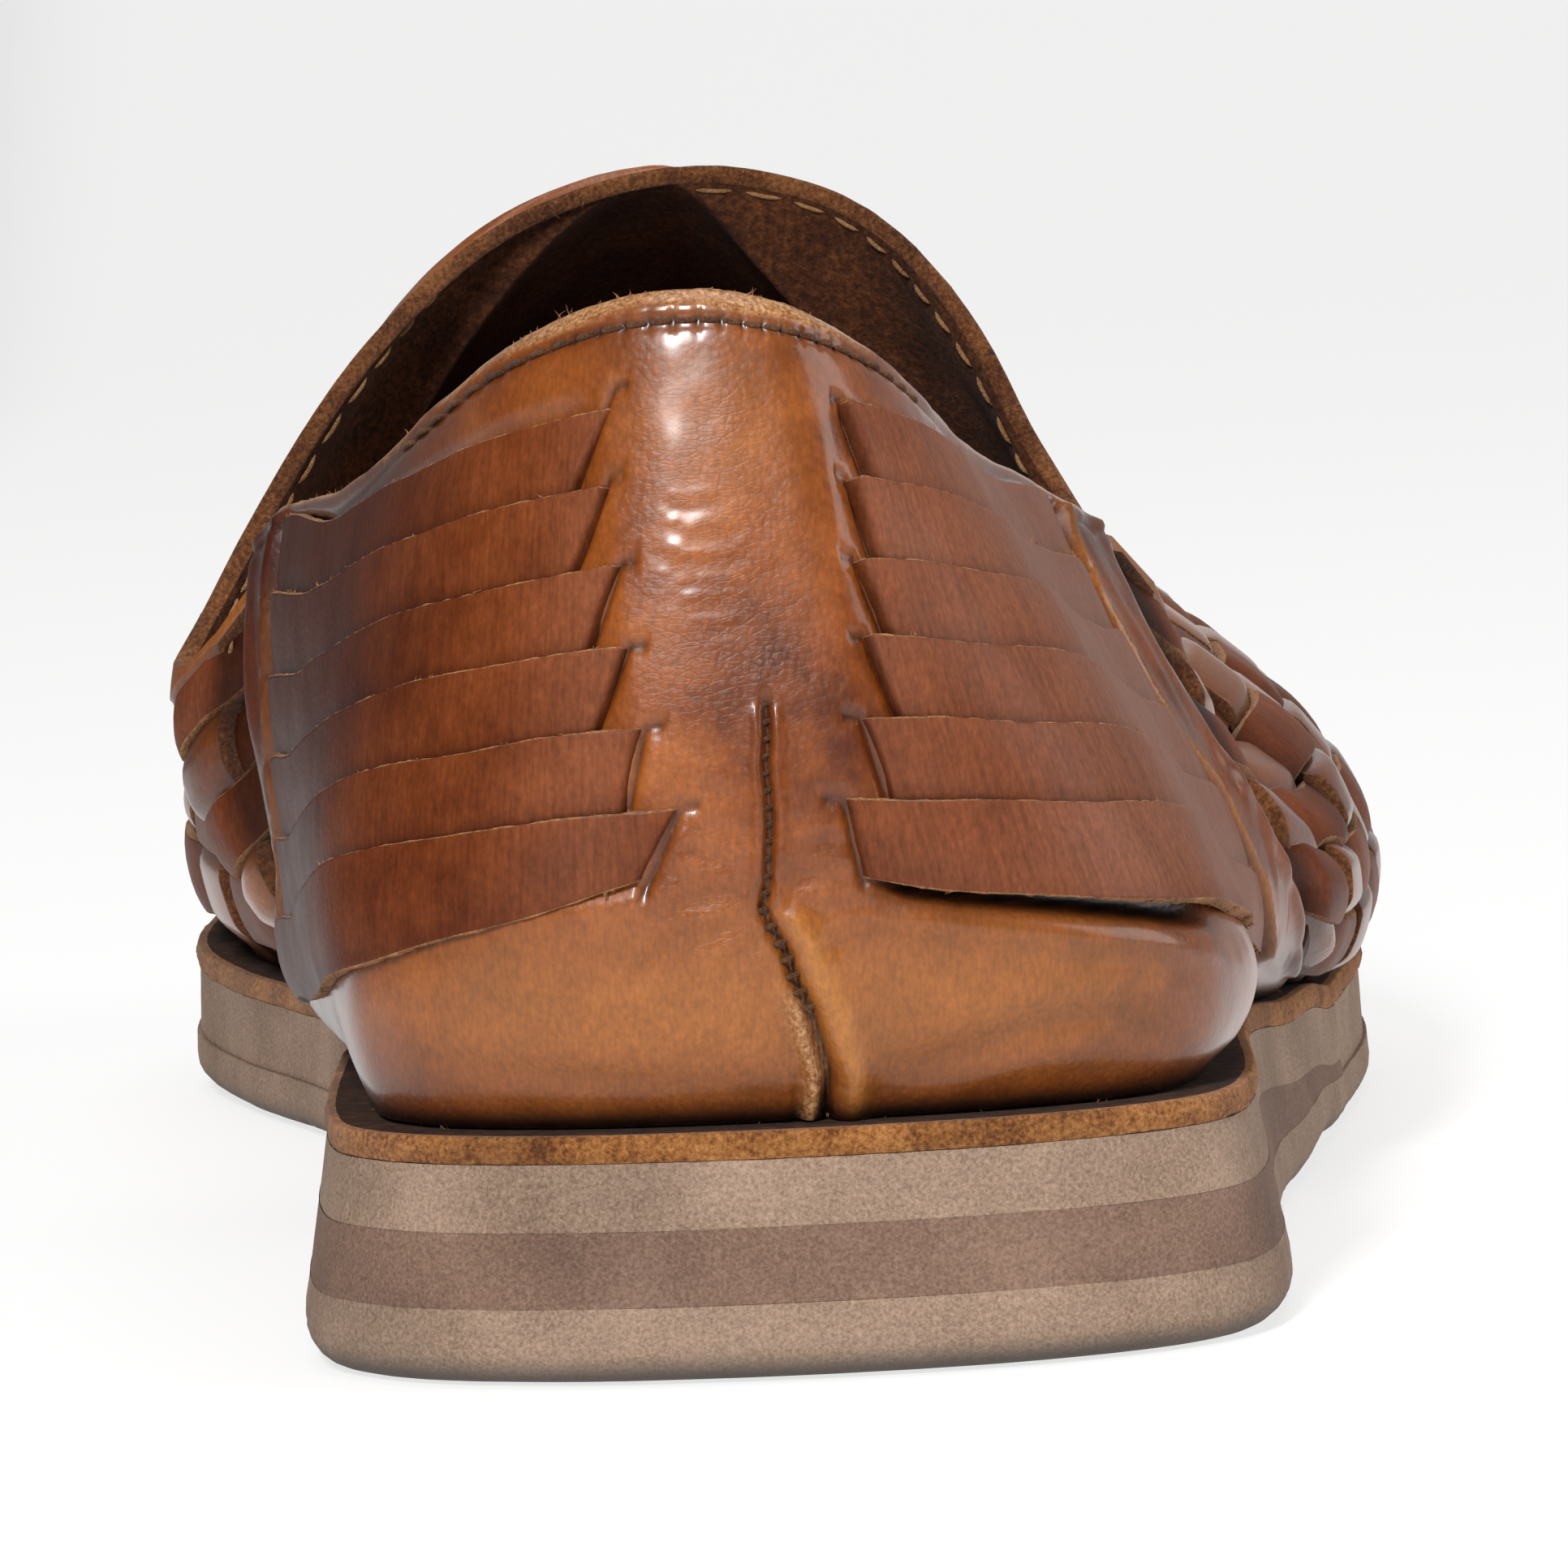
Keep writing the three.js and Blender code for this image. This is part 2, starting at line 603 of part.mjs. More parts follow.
const wedgeRow = outsoleHeel + seatGap;
const foamRow = wedgeRow + wedgeHeel + seatGap;

// Block over the heel end of the sole, up to y
function heelBlock(y) {
  const depth = y + cutMargin;
  return block([cutAcross, depth, 2 * instepHeight], [0, y - depth / 2, 0]);
}

function buildWedge() {
  const full = toManifold(buildLayer([rowAt(wedgeRow, wedgeFoot), rowAt(foamRow - seatGap, wedgeTop)]));
  return fromManifold(full.intersect(heelBlock(wedgeEnd)));
}

// Upper foam layer, with the wedge's seat cut out under its heel
function buildFoam() {
  const full = toManifold(buildLayer([rowAt(wedgeRow, wedgeFoot), rowAt(foamRow + foamThickness, foamTop)]));
  const wider = (height) => (turn) => sideOut(height)(turn) + edgeRound;
  const seat = toManifold(buildLayer([
    { out: wider(wedgeRow), height: (y) => wedgeFoot(y) - edgeRound },
    { out: wider(foamRow), height: (y) => wedgeTop(y) + seatGap },
  ]));
  return fromManifold(full.subtract(seat.intersect(heelBlock(wedgeEnd + seatGap))));
}

const plainRow = (out, height) => ({ out: () => out, height });
const buildBoard = () => buildLayer([plainRow(0, boardFoot), plainRow(0, boardTop)]);

function buildInsole() {
  const inside = (turn) => -along(insetRows, 'inset', Math.abs(turn)) - wall - 2 * seatGap;
  const foot = (y) => seatHeight(y);
  const top = (y) => seatHeight(y) + insoleThickness;
  return buildLayer([{ out: inside, height: foot }, { out: inside, height: top }]);
}

// One side strip over the counter, from its slit to the wing's margin; its upper edge lies proud
function buildSideStrip(sign, hoop) {
  const rings = [];
  const clear = seatGap / 100;
  for (let k = 1; k <= bandCell; k += 1) {
    const at = columns[k];
    const line = 2 + 2 * hoop;
    const low = rowGirth(at, line);
    const pitch = (rowGirth(at, line + 1) - rowGirth(at, line)) / hoopShare;
    const high = low + pitch;
    const gap = seatGap / section(sign * at).getLength();
    const slit = THREE.MathUtils.lerp(slitFoot, slitHead, (hoop + 1) / hoopCount);
    let highTurn = at;
    if (k === 1) highTurn = slit;
    if (k === bandCell) highTurn = at - clear;
    const lowTurn = k === 1 ? slit + slitSlant : highTurn;
    const corner = (turn, girth, lift) => offLast(sign * turn, girth, lift);
    const ring = [
      corner(lowTurn, low, seatGap),
      corner(highTurn, high - gap, seatGap),
      corner(highTurn, high - gap, seatGap + stripThickness + stripLift),
      corner(lowTurn, low, seatGap + stripThickness),
    ];
    rings.push(sign > 0 ? ring : ring.reverse());
  }
  return skin(rings);
}

// Materials, one maker's function each
const leather = (color, roughness) => new THREE.MeshStandardMaterial({ color, roughness, metalness: 0 });
const taupeFoam = () => new THREE.MeshStandardMaterial({ color: 0x7e6c5c, roughness: 0.9, metalness: 0 });
const brownFoam = () => new THREE.MeshStandardMaterial({ color: 0x6c5143, roughness: 0.9, metalness: 0 });

const shoe = new THREE.Group();
function add(name, geometry, material) {
  const mesh = new THREE.Mesh(geometry, material);
  mesh.name = name;
  shoe.add(mesh);
  return mesh;
}

add('outsole', buildOutsole(), taupeFoam());
add('heel_wedge', buildWedge(), brownFoam());
add('midsole', buildFoam(), taupeFoam());
add('leather_board', buildBoard(), leather(0xa87444, 0.85));
add('insole', buildInsole(), leather(0x5b3a22, 0.8));
add('upper', buildUpper(), leather(0x9c5426, 0.45));
for (const [side, sign] of [['lateral', 1], ['medial', -1]]) {
  for (let hoop = 0; hoop < hoopCount; hoop += 1) {
    const strip = buildSideStrip(sign, hoop);
    add(`side_strip_${side}_${hoop + 1}`, strip, leather(0x74391c, 0.4));
  }
}

// The frame's origin: centre of the whole shoe's box, on the floor
const box = new THREE.Box3().setFromObject(shoe);
shoe.position.set(-(box.min.x + box.max.x) / 2, -(box.min.y + box.max.y) / 2, -box.min.z);

const group = new THREE.Group();
group.add(shoe);

export default group;
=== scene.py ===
# Woven slip-on huarache, right shoe: what the eye sees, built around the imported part
import math

import bmesh
import bpy
import numpy as np
from mathutils import Matrix, Vector


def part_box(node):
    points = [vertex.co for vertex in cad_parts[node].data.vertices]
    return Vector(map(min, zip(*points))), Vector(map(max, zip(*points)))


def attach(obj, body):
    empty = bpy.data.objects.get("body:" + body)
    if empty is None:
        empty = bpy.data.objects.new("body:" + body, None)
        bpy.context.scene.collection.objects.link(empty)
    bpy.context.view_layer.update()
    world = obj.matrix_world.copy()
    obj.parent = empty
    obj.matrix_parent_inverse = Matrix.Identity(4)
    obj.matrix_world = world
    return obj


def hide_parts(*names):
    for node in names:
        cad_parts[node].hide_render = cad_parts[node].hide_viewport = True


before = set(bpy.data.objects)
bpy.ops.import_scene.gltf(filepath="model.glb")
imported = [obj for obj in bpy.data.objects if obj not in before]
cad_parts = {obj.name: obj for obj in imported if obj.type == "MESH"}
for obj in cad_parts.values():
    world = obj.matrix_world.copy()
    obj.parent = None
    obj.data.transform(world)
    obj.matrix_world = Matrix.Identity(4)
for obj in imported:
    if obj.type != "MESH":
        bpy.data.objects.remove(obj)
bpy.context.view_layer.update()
print("frame loaded")


# The shoe's own sizes in millimetres, as in the CAD
shoe = {
    "soleLength": 288, "ballWidth": 106, "heelWidth": 69, "collarHeight": 60, "instepHeight": 69.5,
    "seatGap": 0.3, "sectionReach": 20,
    "outsoleHeel": 5.6, "outsoleFore": 4.6, "wedgeHeel": 5.1, "wedgeTip": 0.8, "wedgeEnd": 140,
    "taperFrom": 58,
    "foamThickness": 4.7, "boardThickness": 1.8, "insoleThickness": 2,
    "heelFlare": 2.8, "foreFlare": 0.8, "edgeRound": 3,
    "archRise": 1, "archFrom": 98, "archTo": 138, "springRise": 11, "springFrom": 188,
    "treadDepth": 1.2, "treadWidth": 2.6, "treadPitch": 17,
    "wall": 2.2, "hoopCount": 6, "ribCount": 13, "ribShare": 0.64, "hoopShare": 0.74,
    "heelInset": 4, "waistInset": 1.5, "foreInset": 3.5,
    "bandFront": 0.345, "throatRibs": 3,
}
ribPitch = (1 - shoe["bandFront"]) / (shoe["ribCount"] + 1 - shoe["ribShare"] / 2)
ribWidth = shoe["ribShare"] * ribPitch
throatAt = shoe["bandFront"] + (shoe["throatRibs"] + 1) * ribPitch - ribWidth

heel, ball = shoe["heelWidth"], shoe["ballWidth"]
# along, across, and the width that across is a share of
outlineRows = [
    (0, 0, heel), (0.008, 0.27, heel), (0.035, 0.455, heel), (0.09, 0.52, heel), (0.2, 0.54, heel),
    (0.3, 0.585, heel), (0.39, 0.43, ball), (0.49, 0.475, ball), (0.6, 0.515, ball), (0.7, 0.515, ball),
    (0.79, 0.465, ball), (0.87, 0.375, ball), (0.935, 0.25, ball), (0.98, 0.1, ball), (1, -0.06, ball),
    (0.98, -0.21, ball), (0.93, -0.335, ball), (0.85, -0.44, ball), (0.75, -0.485, ball),
    (0.66, -0.44, ball), (0.57, -0.365, ball), (0.48, -0.32, ball), (0.38, -0.475, heel),
    (0.26, -0.49, heel), (0.09, -0.495, heel), (0.035, -0.435, heel), (0.008, -0.26, heel),
]
toeRow = 14
# at, across, along, rise
collarLine = {
    1: [(0, -0.02, 0.021, 1), (0.12, 0.035, 0.025, 0.99), (0.24, 0.08, 0.045, 0.95),
        (0.36, 0.115, 0.085, 0.885),
        (0.48, 0.14, 0.128, 0.825), (0.64, 0.175, 0.183, 0.765), (0.82, 0.226, 0.26, 0.71),
        (0.94, 0.264, 0.312, 0.68), (1, 0.288, 0.335, 0.645)],
    -1: [(0, -0.02, 0.021, 1), (0.12, -0.09, 0.026, 0.985), (0.24, -0.16, 0.045, 0.945),
         (0.36, -0.218, 0.083, 0.88),
         (0.48, -0.258, 0.128, 0.82), (0.64, -0.297, 0.185, 0.757), (0.82, -0.332, 0.256, 0.735),
         (0.94, -0.356, 0.305, 0.73), (1, -0.373, 0.328, 0.69)],
}
archLine = {
    1: [(0, 0.288, 0.335, 0.555), (0.11, 0.305, 0.35, 0.49), (0.3, 0.312, 0.364, 0.465),
        (0.4, 0.278, 0.375, 0.53),
        (0.6, 0.218, 0.393, 0.67), (0.7, 0.178, 0.405, 0.8), (0.89, 0.085, 0.428, 0.955),
        (1, -0.038, 0.434, 1)],
    -1: [(0, -0.373, 0.328, 0.596), (0.11, -0.405, 0.345, 0.48), (0.3, -0.432, 0.362, 0.45),
         (0.4, -0.41, 0.375, 0.51),
         (0.6, -0.345, 0.393, 0.66), (0.7, -0.283, 0.405, 0.785), (0.89, -0.165, 0.428, 0.935),
         (1, -0.038, 0.434, 1)],
}
crestLine = [(0, -0.038, 0.434, 1), (0.1, -0.038, 0.462, 0.965), (0.25, -0.033, 0.514, 0.89),
             (0.42, -0.028, 0.576, 0.79), (0.58, -0.024, 0.639, 0.69), (0.74, -0.02, 0.694, 0.6),
             (0.88, -0.02, 0.733, 0.535), (1, -0.02, 0.757, 0.5)]
# at, bellyOut, bellyUp, shoulderOut, shoulderUp
sectionRows = {
    1: [(0, 0.35, 0.9, 0.2, -1.1), (0.08, 0.35, 0.8, 0.4, -1.2), (0.16, 0.375, 0.7, 0.35, -1),
        (0.28, 0.325, 0.55, 0.225, -0.75), (0.375, 0.6, 0.6, 0.25, -0.5), (0.44, 0.75, 0.7, 0.2, -0.75),
        (0.52, 0.95, 0.8, 0.4, -0.8), (0.7, 0.9, 0.85, 0.65, -0.45), (0.85, 0.65, 0.85, 1.15, -0.2),
        (1, 0.4, 0.8, 1.5, -0.35)],
    -1: [(0, 0.35, 0.9, 0.2, -1.1), (0.08, 0.35, 0.8, 0.25, -1.2), (0.16, 0.3, 0.7, 0.25, -1),
         (0.28, 0.325, 0.6, 0.175, -0.75), (0.375, 0.55, 0.7, 0.1, -0.5), (0.44, 0.8, 1, 0.25, -0.6),
         (0.52, 0.9, 1.1, 1, -0.3), (0.7, 0.65, 1.05, 1.3, -0.1), (0.85, 0.5, 0.9, 1.4, -0.1),
         (1, 0.4, 0.8, 1.5, -0.35)],
}
# at, low, high
weaveRows = [(0, 0.295, 0.865), (0.06, 0.285, 0.865), (0.16, 0.21, 0.88), (0.25, 0.12, 0.92),
             (0.345, 0.07, 0.95),
             (0.385, 0.05, 0.95), (0.43, 0.05, 0.62), (0.5, 0.05, 0.46), (0.6, 0.05, 0.53),
             (0.72, 0.05, 0.62),
             (0.86, 0.05, 0.68), (1, 0.06, 0.7)]
insetRows = [(0, shoe["heelInset"]), (0.2, 3.2), (0.34, shoe["waistInset"]), (0.45, shoe["waistInset"]),
             (0.65, shoe["foreInset"]), (1, shoe["foreInset"])]


def along(rows, column, at):
    x = np.array([row[0] for row in rows], float)
    y = np.array([row[column] for row in rows], float)
    k = np.arange(len(x))
    before, after = np.maximum(k - 1, 0), np.minimum(k + 1, len(x) - 1)
    slope = (y[after] - y[before]) / (x[after] - x[before])
    at = np.asarray(at, float)
    k = np.clip(np.searchsorted(x, at, "left") - 1, 0, len(x) - 2)
    span = x[k + 1] - x[k]
    s = np.clip((at - x[k]) / span, 0, 1)
    return ((2 * s**3 - 3 * s**2 + 1) * y[k] + (s**3 - 2 * s**2 + s) * span * slope[k]
            + (3 * s**2 - 2 * s**3) * y[k + 1] + (s**3 - s**2) * span * slope[k + 1])


def ease(low, high, value):
    s = np.clip((np.asarray(value, float) - low) / (high - low), 0, 1)
    return s * s * (3 - 2 * s)


# Sole outline, a closed curve through its rows, walked at an even pace
corners = np.array([(across * of, part * shoe["soleLength"]) for part, across, of in outlineRows])


def curvePoint(t):
    t = np.asarray(t, float) % 1 * len(corners)
    k = np.floor(t).astype(int)
    s = (t - k)[..., None]
    p0, p1, p2, p3 = (corners[(k + n) % len(corners)] for n in (-1, 0, 1, 2))
    m1, m2 = (p2 - p0) / 2, (p3 - p1) / 2
    return (2 * p1 - 2 * p2 + m1 + m2) * s**3 + (-3 * p1 + 3 * p2 - 2 * m1 - m2) * s**2 + m1 * s + p1


walk = np.linspace(0, 1, 801)
walked = np.concatenate([[0], np.cumsum(np.linalg.norm(np.diff(curvePoint(walk), axis=0), axis=1))])
toeShare = walked[round(800 * toeRow / len(corners))] / walked[-1]


def outlinePoint(turn, out=0):
    turn = np.asarray(turn, float)
    share = np.where(turn >= 0, turn * toeShare, 1 + turn * (1 - toeShare)) % 1
    t = np.interp(share * walked[-1], walked, walk)
    step = 1e-4
    tangent = curvePoint(t + step) - curvePoint(t - step)
    tangent /= np.linalg.norm(tangent, axis=-1, keepdims=True)
    normal = np.stack([tangent[..., 1], -tangent[..., 0]], -1)
    return curvePoint(t) + normal * np.asarray(out, float)[..., None], normal


def soleFoot(y):
    hollow = np.sin(np.pi * np.clip((y - shoe["archFrom"]) / (shoe["archTo"] - shoe["archFrom"]), 0, 1))
    spring = np.clip((y - shoe["springFrom"]) / (shoe["soleLength"] - shoe["springFrom"]), 0, None)
    return shoe["archRise"] * hollow**2 + shoe["springRise"] * spring**2


def taper(atHeel, atFore, y):
    return atHeel + (atFore - atHeel) * ease(shoe["taperFrom"], shoe["wedgeEnd"], y)


def outsoleTop(y): return soleFoot(y) + taper(shoe["outsoleHeel"], shoe["outsoleFore"], y)
def wedgeTop(y): return outsoleTop(y) + shoe["seatGap"] + taper(shoe["wedgeHeel"], shoe["wedgeTip"], y)
def foamTop(y): return wedgeTop(y) + shoe["seatGap"] + shoe["foamThickness"]
def boardTop(y): return foamTop(y) + shoe["seatGap"] + shoe["boardThickness"]
def seatHeight(y): return boardTop(y) + shoe["seatGap"]


# The last as a fine net of points: turn runs from -1 by the heel at 0 to 1, girth from the sole up
turnSteps, girthSteps = 1200, 160
netTurns = np.linspace(-1, 1, 2 * turnSteps + 1)
side = np.where(netTurns >= 0, 1, -1)
at = np.abs(netTurns)
collarAt = at / shoe["bandFront"]
archAt = (at - shoe["bandFront"]) / (throatAt - shoe["bandFront"])
crestAt = (at - throatAt) / (1 - throatAt)


def bySide(rows, column, where):
    return np.where(side > 0, along(rows[1], column, where), along(rows[-1], column, where))


def topline(column):
    ahead = np.where(at < throatAt, bySide(archLine, column, archAt), along(crestLine, column, crestAt))
    return np.where(at < shoe["bandFront"], bySide(collarLine, column, collarAt), ahead)


top = np.stack([topline(1) * shoe["ballWidth"], topline(2) * shoe["soleLength"], np.zeros(len(at))], -1)
rise = np.where(at < shoe["bandFront"], shoe["collarHeight"], shoe["instepHeight"])
top[:, 2] = seatHeight(top[:, 1]) + topline(3) * rise


# Evens out a run of points, stronger where pull is near 1
def evened(line, pull, times):
    line = line.copy()
    for _ in range(times):
        line[1:-1] += 0.5 * pull[1:-1, None] * ((line[:-2] + line[2:]) / 2 - line[1:-1])
    return line


atHeelBack = 1 - ease(0.07, 0.12, at)
throatRun = np.concatenate([np.where((side > 0) & (at >= shoe["bandFront"]) & (at <= throatAt))[0],
                            np.where((side < 0) & (at >= shoe["bandFront"]) & (at <= throatAt))[0]])
crestMore = 0.7  # mm that the crest stands above its drawn line
crestHeight = top[throatRun, 2].max() + crestMore
top[throatRun] = evened(top[throatRun], ease(0.5, 0.8, archAt[throatRun]), 110)
regain = crestHeight - top[throatRun, 2].max()
top[throatRun, 2] += regain * ease(0.3, 0.85, archAt[throatRun])
top[at > throatAt, 2] += crestMore * (1 - ease(0, 0.3, crestAt[at > throatAt]))
top = evened(top, atHeelBack, 120)
footXy, outward = outlinePoint(netTurns, -along(insetRows, 1, at))
foot = np.concatenate([footXy, seatHeight(footXy[:, 1])[:, None]], 1)
outward = np.concatenate([outward, np.zeros((len(at), 1))], 1)
reach = [shoe["sectionReach"] * bySide(sectionRows, column, at)[:, None] for column in (1, 2, 3, 4)]
reach = [evened(values, atHeelBack, 120) for values in reach]
up = np.array([0, 0, 1.0])
belly = foot + outward * reach[0] + up * reach[1]
shoulder = top + outward * reach[2] + up * reach[3]
t = np.linspace(0, 1, 193)[None, :, None]
raw = ((1 - t)**3 * foot[:, None] + 3 * (1 - t)**2 * t * belly[:, None]
       + 3 * (1 - t) * t**2 * shoulder[:, None] + t**3 * top[:, None])
strides = np.linalg.norm(np.diff(raw, axis=1), axis=2)
paced = np.concatenate([np.zeros((len(at), 1)), np.cumsum(strides, axis=1)], 1)
girthLength = paced[:, -1]
net = np.empty((len(at), girthSteps + 1, 3))
shares = np.linspace(0, 1, girthSteps + 1)
for k in range(len(at)):
    for axis in range(3):
        net[k, :, axis] = np.interp(shares * paced[k, -1], paced[k], raw[k, :, axis])


# The crest of the vamp is rounded over, so that its two sides meet without a ridge
overCrest = np.where(at >= throatAt)[0]
before = net.copy()
for _ in range(150):
    for k in overCrest[overCrest >= turnSteps]:
        other = 2 * turnSteps - k
        line = np.concatenate([net[k], net[other, -2::-1]])
        pull = ease(0.7, 0.95, np.concatenate([shares, shares[-2::-1]]))[1:-1, None]
        line[1:-1] += 0.5 * pull * ((line[:-2] + line[2:]) / 2 - line[1:-1])
        net[k], net[other] = line[:girthSteps + 1], line[:girthSteps - 1:-1]
regained = (before[overCrest, -1, 2] - net[overCrest, -1, 2])[:, None]
net[overCrest, :, 2] += regained * ease(0.35, 0.92, shares)[None, :]
crestStart = overCrest[overCrest >= turnSteps][0]
nearThroat = ease(throatAt - 0.05, throatAt, at)
for k in np.where((at < throatAt) & (nearThroat > 0))[0]:
    first = crestStart if netTurns[k] > 0 else 2 * turnSteps - crestStart
    net[k] += nearThroat[k] * (net[first] - before[first])
# the skin is drawn in on the outer side below the throat, and the waist is fuller low on the inner side
drawnIn = [(0.325, 0), (0.36, 2.6), (0.42, 5.0), (0.46, 6.5), (0.5, 6.0), (0.56, 3.0), (0.66, 0)]  # turn, mm
drawnAt = [(0.26, 0), (0.45, 0.85), (0.58, 1), (0.8, 0.45), (1, 0)]  # girth, share
pulled = np.where(side > 0, along(drawnIn, 1, np.clip(at, 0.325, 0.66)), 0)[:, None]
pulled = pulled * along(drawnAt, 1, np.clip(shares, 0.26, 1))[None, :]
fuller = np.where(side < 0, 2.9 * np.exp(-((at - 0.29) / 0.075)**2), 0)[:, None]
fuller = fuller * np.exp(-((shares - 0.12) / 0.17)**2)[None, :] * ease(0, 0.05, shares)[None, :]
rounder = np.where(side > 0, 2.2 * np.exp(-((at - 0.17) / 0.07)**2), 0)[:, None]
rounder = rounder * np.exp(-((shares - 0.12) / 0.11)**2)[None, :] * ease(0, 0.04, shares)[None, :]
net += outward[:, None] * (fuller + rounder - pulled)[..., None]
wrapped = np.concatenate([net[-2:-1], net, net[1:2]])
aroundWay = wrapped[2:] - wrapped[:-2]
netNormal = np.cross(aroundWay, np.gradient(net, axis=1))
netNormal /= np.linalg.norm(netNormal, axis=2, keepdims=True) + 1e-12
# by the throat the net's two ways run together, so there the skin faces straight out from the shoe's length
girthWay = np.gradient(net, axis=1)
facing = np.stack([girthWay[..., 2], np.zeros(net.shape[:2]), -girthWay[..., 0]], -1) * side[:, None, None]
facing /= np.linalg.norm(facing, axis=2, keepdims=True) + 1e-12
facing[..., 1] = -0.12
byThroat = (ease(0.4, 0.45, at) * (1 - ease(0.54, 0.62, at)))[:, None] * ease(0.4, 0.65, shares)[None, :]
netNormal += byThroat[..., None] * (facing - netNormal)
netNormal /= np.linalg.norm(netNormal, axis=2, keepdims=True) + 1e-12
crestNormal = netNormal[overCrest, -1] + netNormal[2 * turnSteps - overCrest, -1]
netNormal[overCrest, -1] = crestNormal / np.linalg.norm(crestNormal, axis=1, keepdims=True)
halfWay = walked[-1] / 2


def onNet(values, turn, girth):
    u = (np.asarray(turn, float) + 1) % 2 * turnSteps
    v = np.clip(np.asarray(girth, float), 0, 1) * girthSteps
    i, j = np.floor(u).astype(int), np.minimum(np.floor(v).astype(int), girthSteps - 1)
    s, t = (u - i)[..., None], (v - j)[..., None]
    return ((values[i, j] * (1 - s) + values[i + 1, j] * s) * (1 - t)
            + (values[i, j + 1] * (1 - s) + values[i + 1, j + 1] * s) * t)


def sectionLength(turn):
    return np.interp((np.asarray(turn, float) + 1) % 2 * turnSteps, np.arange(len(girthLength)), girthLength)


def rowGirth(turn, line):
    low = along(weaveRows, 1, np.abs(turn))
    high = along(weaveRows, 2, np.abs(turn))
    pitch = (high - low) / (shoe["hoopCount"] - 1 + shoe["hoopShare"])
    hoop, upper = divmod(line, 2)
    return low + pitch * (hoop + (shoe["hoopShare"] if upper else 0))


# Value noise from -1 to 1, its cells size mm wide
def noiseAt(points, size, seed=0):
    p = np.asarray(points, float) / size + seed * 17.31
    cell = np.floor(p).astype(np.int64)
    f = p - cell
    f = f * f * (3 - 2 * f)
    total = 0
    for corner in range(8):
        d = np.array([corner & 1, corner >> 1 & 1, corner >> 2 & 1])
        c = cell + d
        h = c[..., 0] * 73856093 ^ c[..., 1] * 19349663 ^ c[..., 2] * 83492791
        h = (h ^ (h >> 13)) * 1274126177 & 0x7FFFFFFF
        weight = np.prod(np.where(d == 1, f, 1 - f), axis=-1)
        total = total + weight * ((h >> 8) % 65536 / 32768 - 1)
    return total


# From the shoe's own millimetres to the row's metres
outlineLow = curvePoint(np.linspace(0, 1, 4001)).min(0)
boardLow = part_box("leather_board")[0]
shift = np.array([boardLow.x * 1000 - outlineLow[0], boardLow.y * 1000 - outlineLow[1], 0])


def toRow(points):
    return (np.asarray(points) + shift) / 1000


def linked(name, data):
    made = bpy.data.objects.new(name, data)
    bpy.context.scene.collection.objects.link(made)
    return made


def makeObject(name, points, quads, materials, slots=None, marks=None):
    mesh = bpy.data.meshes.new(name)
    quads = np.asarray(quads)
    mesh.vertices.add(len(points))
    mesh.vertices.foreach_set("co", toRow(points).astype(np.float32).ravel())
    mesh.loops.add(quads.size)
    mesh.loops.foreach_set("vertex_index", quads.astype(np.int32).ravel())
    mesh.polygons.add(len(quads))
    mesh.polygons.foreach_set("loop_start", np.arange(0, quads.size, quads.shape[1], dtype=np.int32))
    for material in materials:
        mesh.materials.append(material)
    if slots is not None:
        mesh.polygons.foreach_set("material_index", np.asarray(slots, np.int32))
    for mark, values in (marks or {}).items():
        values = np.asarray(values, np.float32)
        kind = "FLOAT_VECTOR" if values.ndim == 2 else "FLOAT"
        layer = mesh.attributes.new(mark, kind, "POINT")
        layer.data.foreach_set("vector" if values.ndim == 2 else "value", values.ravel())
    mesh.update(calc_edges=True)
    made = linked(name, mesh)
    bm = bmesh.new()
    bm.from_mesh(mesh)
    bmesh.ops.remove_doubles(bm, verts=bm.verts, dist=1e-6)
    bmesh.ops.dissolve_degenerate(bm, dist=1e-7, edges=bm.edges)
    bm.to_mesh(mesh)
    bm.free()
    mesh.shade_smooth()
    return made


def gridQuads(index):
    return np.stack([index[:-1, :-1], index[1:, :-1], index[1:, 1:], index[:-1, 1:]], -1)


def unit(ways):
    return ways / np.linalg.norm(ways, axis=-1, keepdims=True)


# Spots on the upper at a height over the net, with the way that the skin faces
def skinAt(turn, girth, lift):
    normal = unit(onNet(netNormal, turn, girth))
    return onNet(net, turn, girth) + normal * np.asarray(lift)[..., None], normal


edgeSpots = []  # edges that loose fibres stand out of later


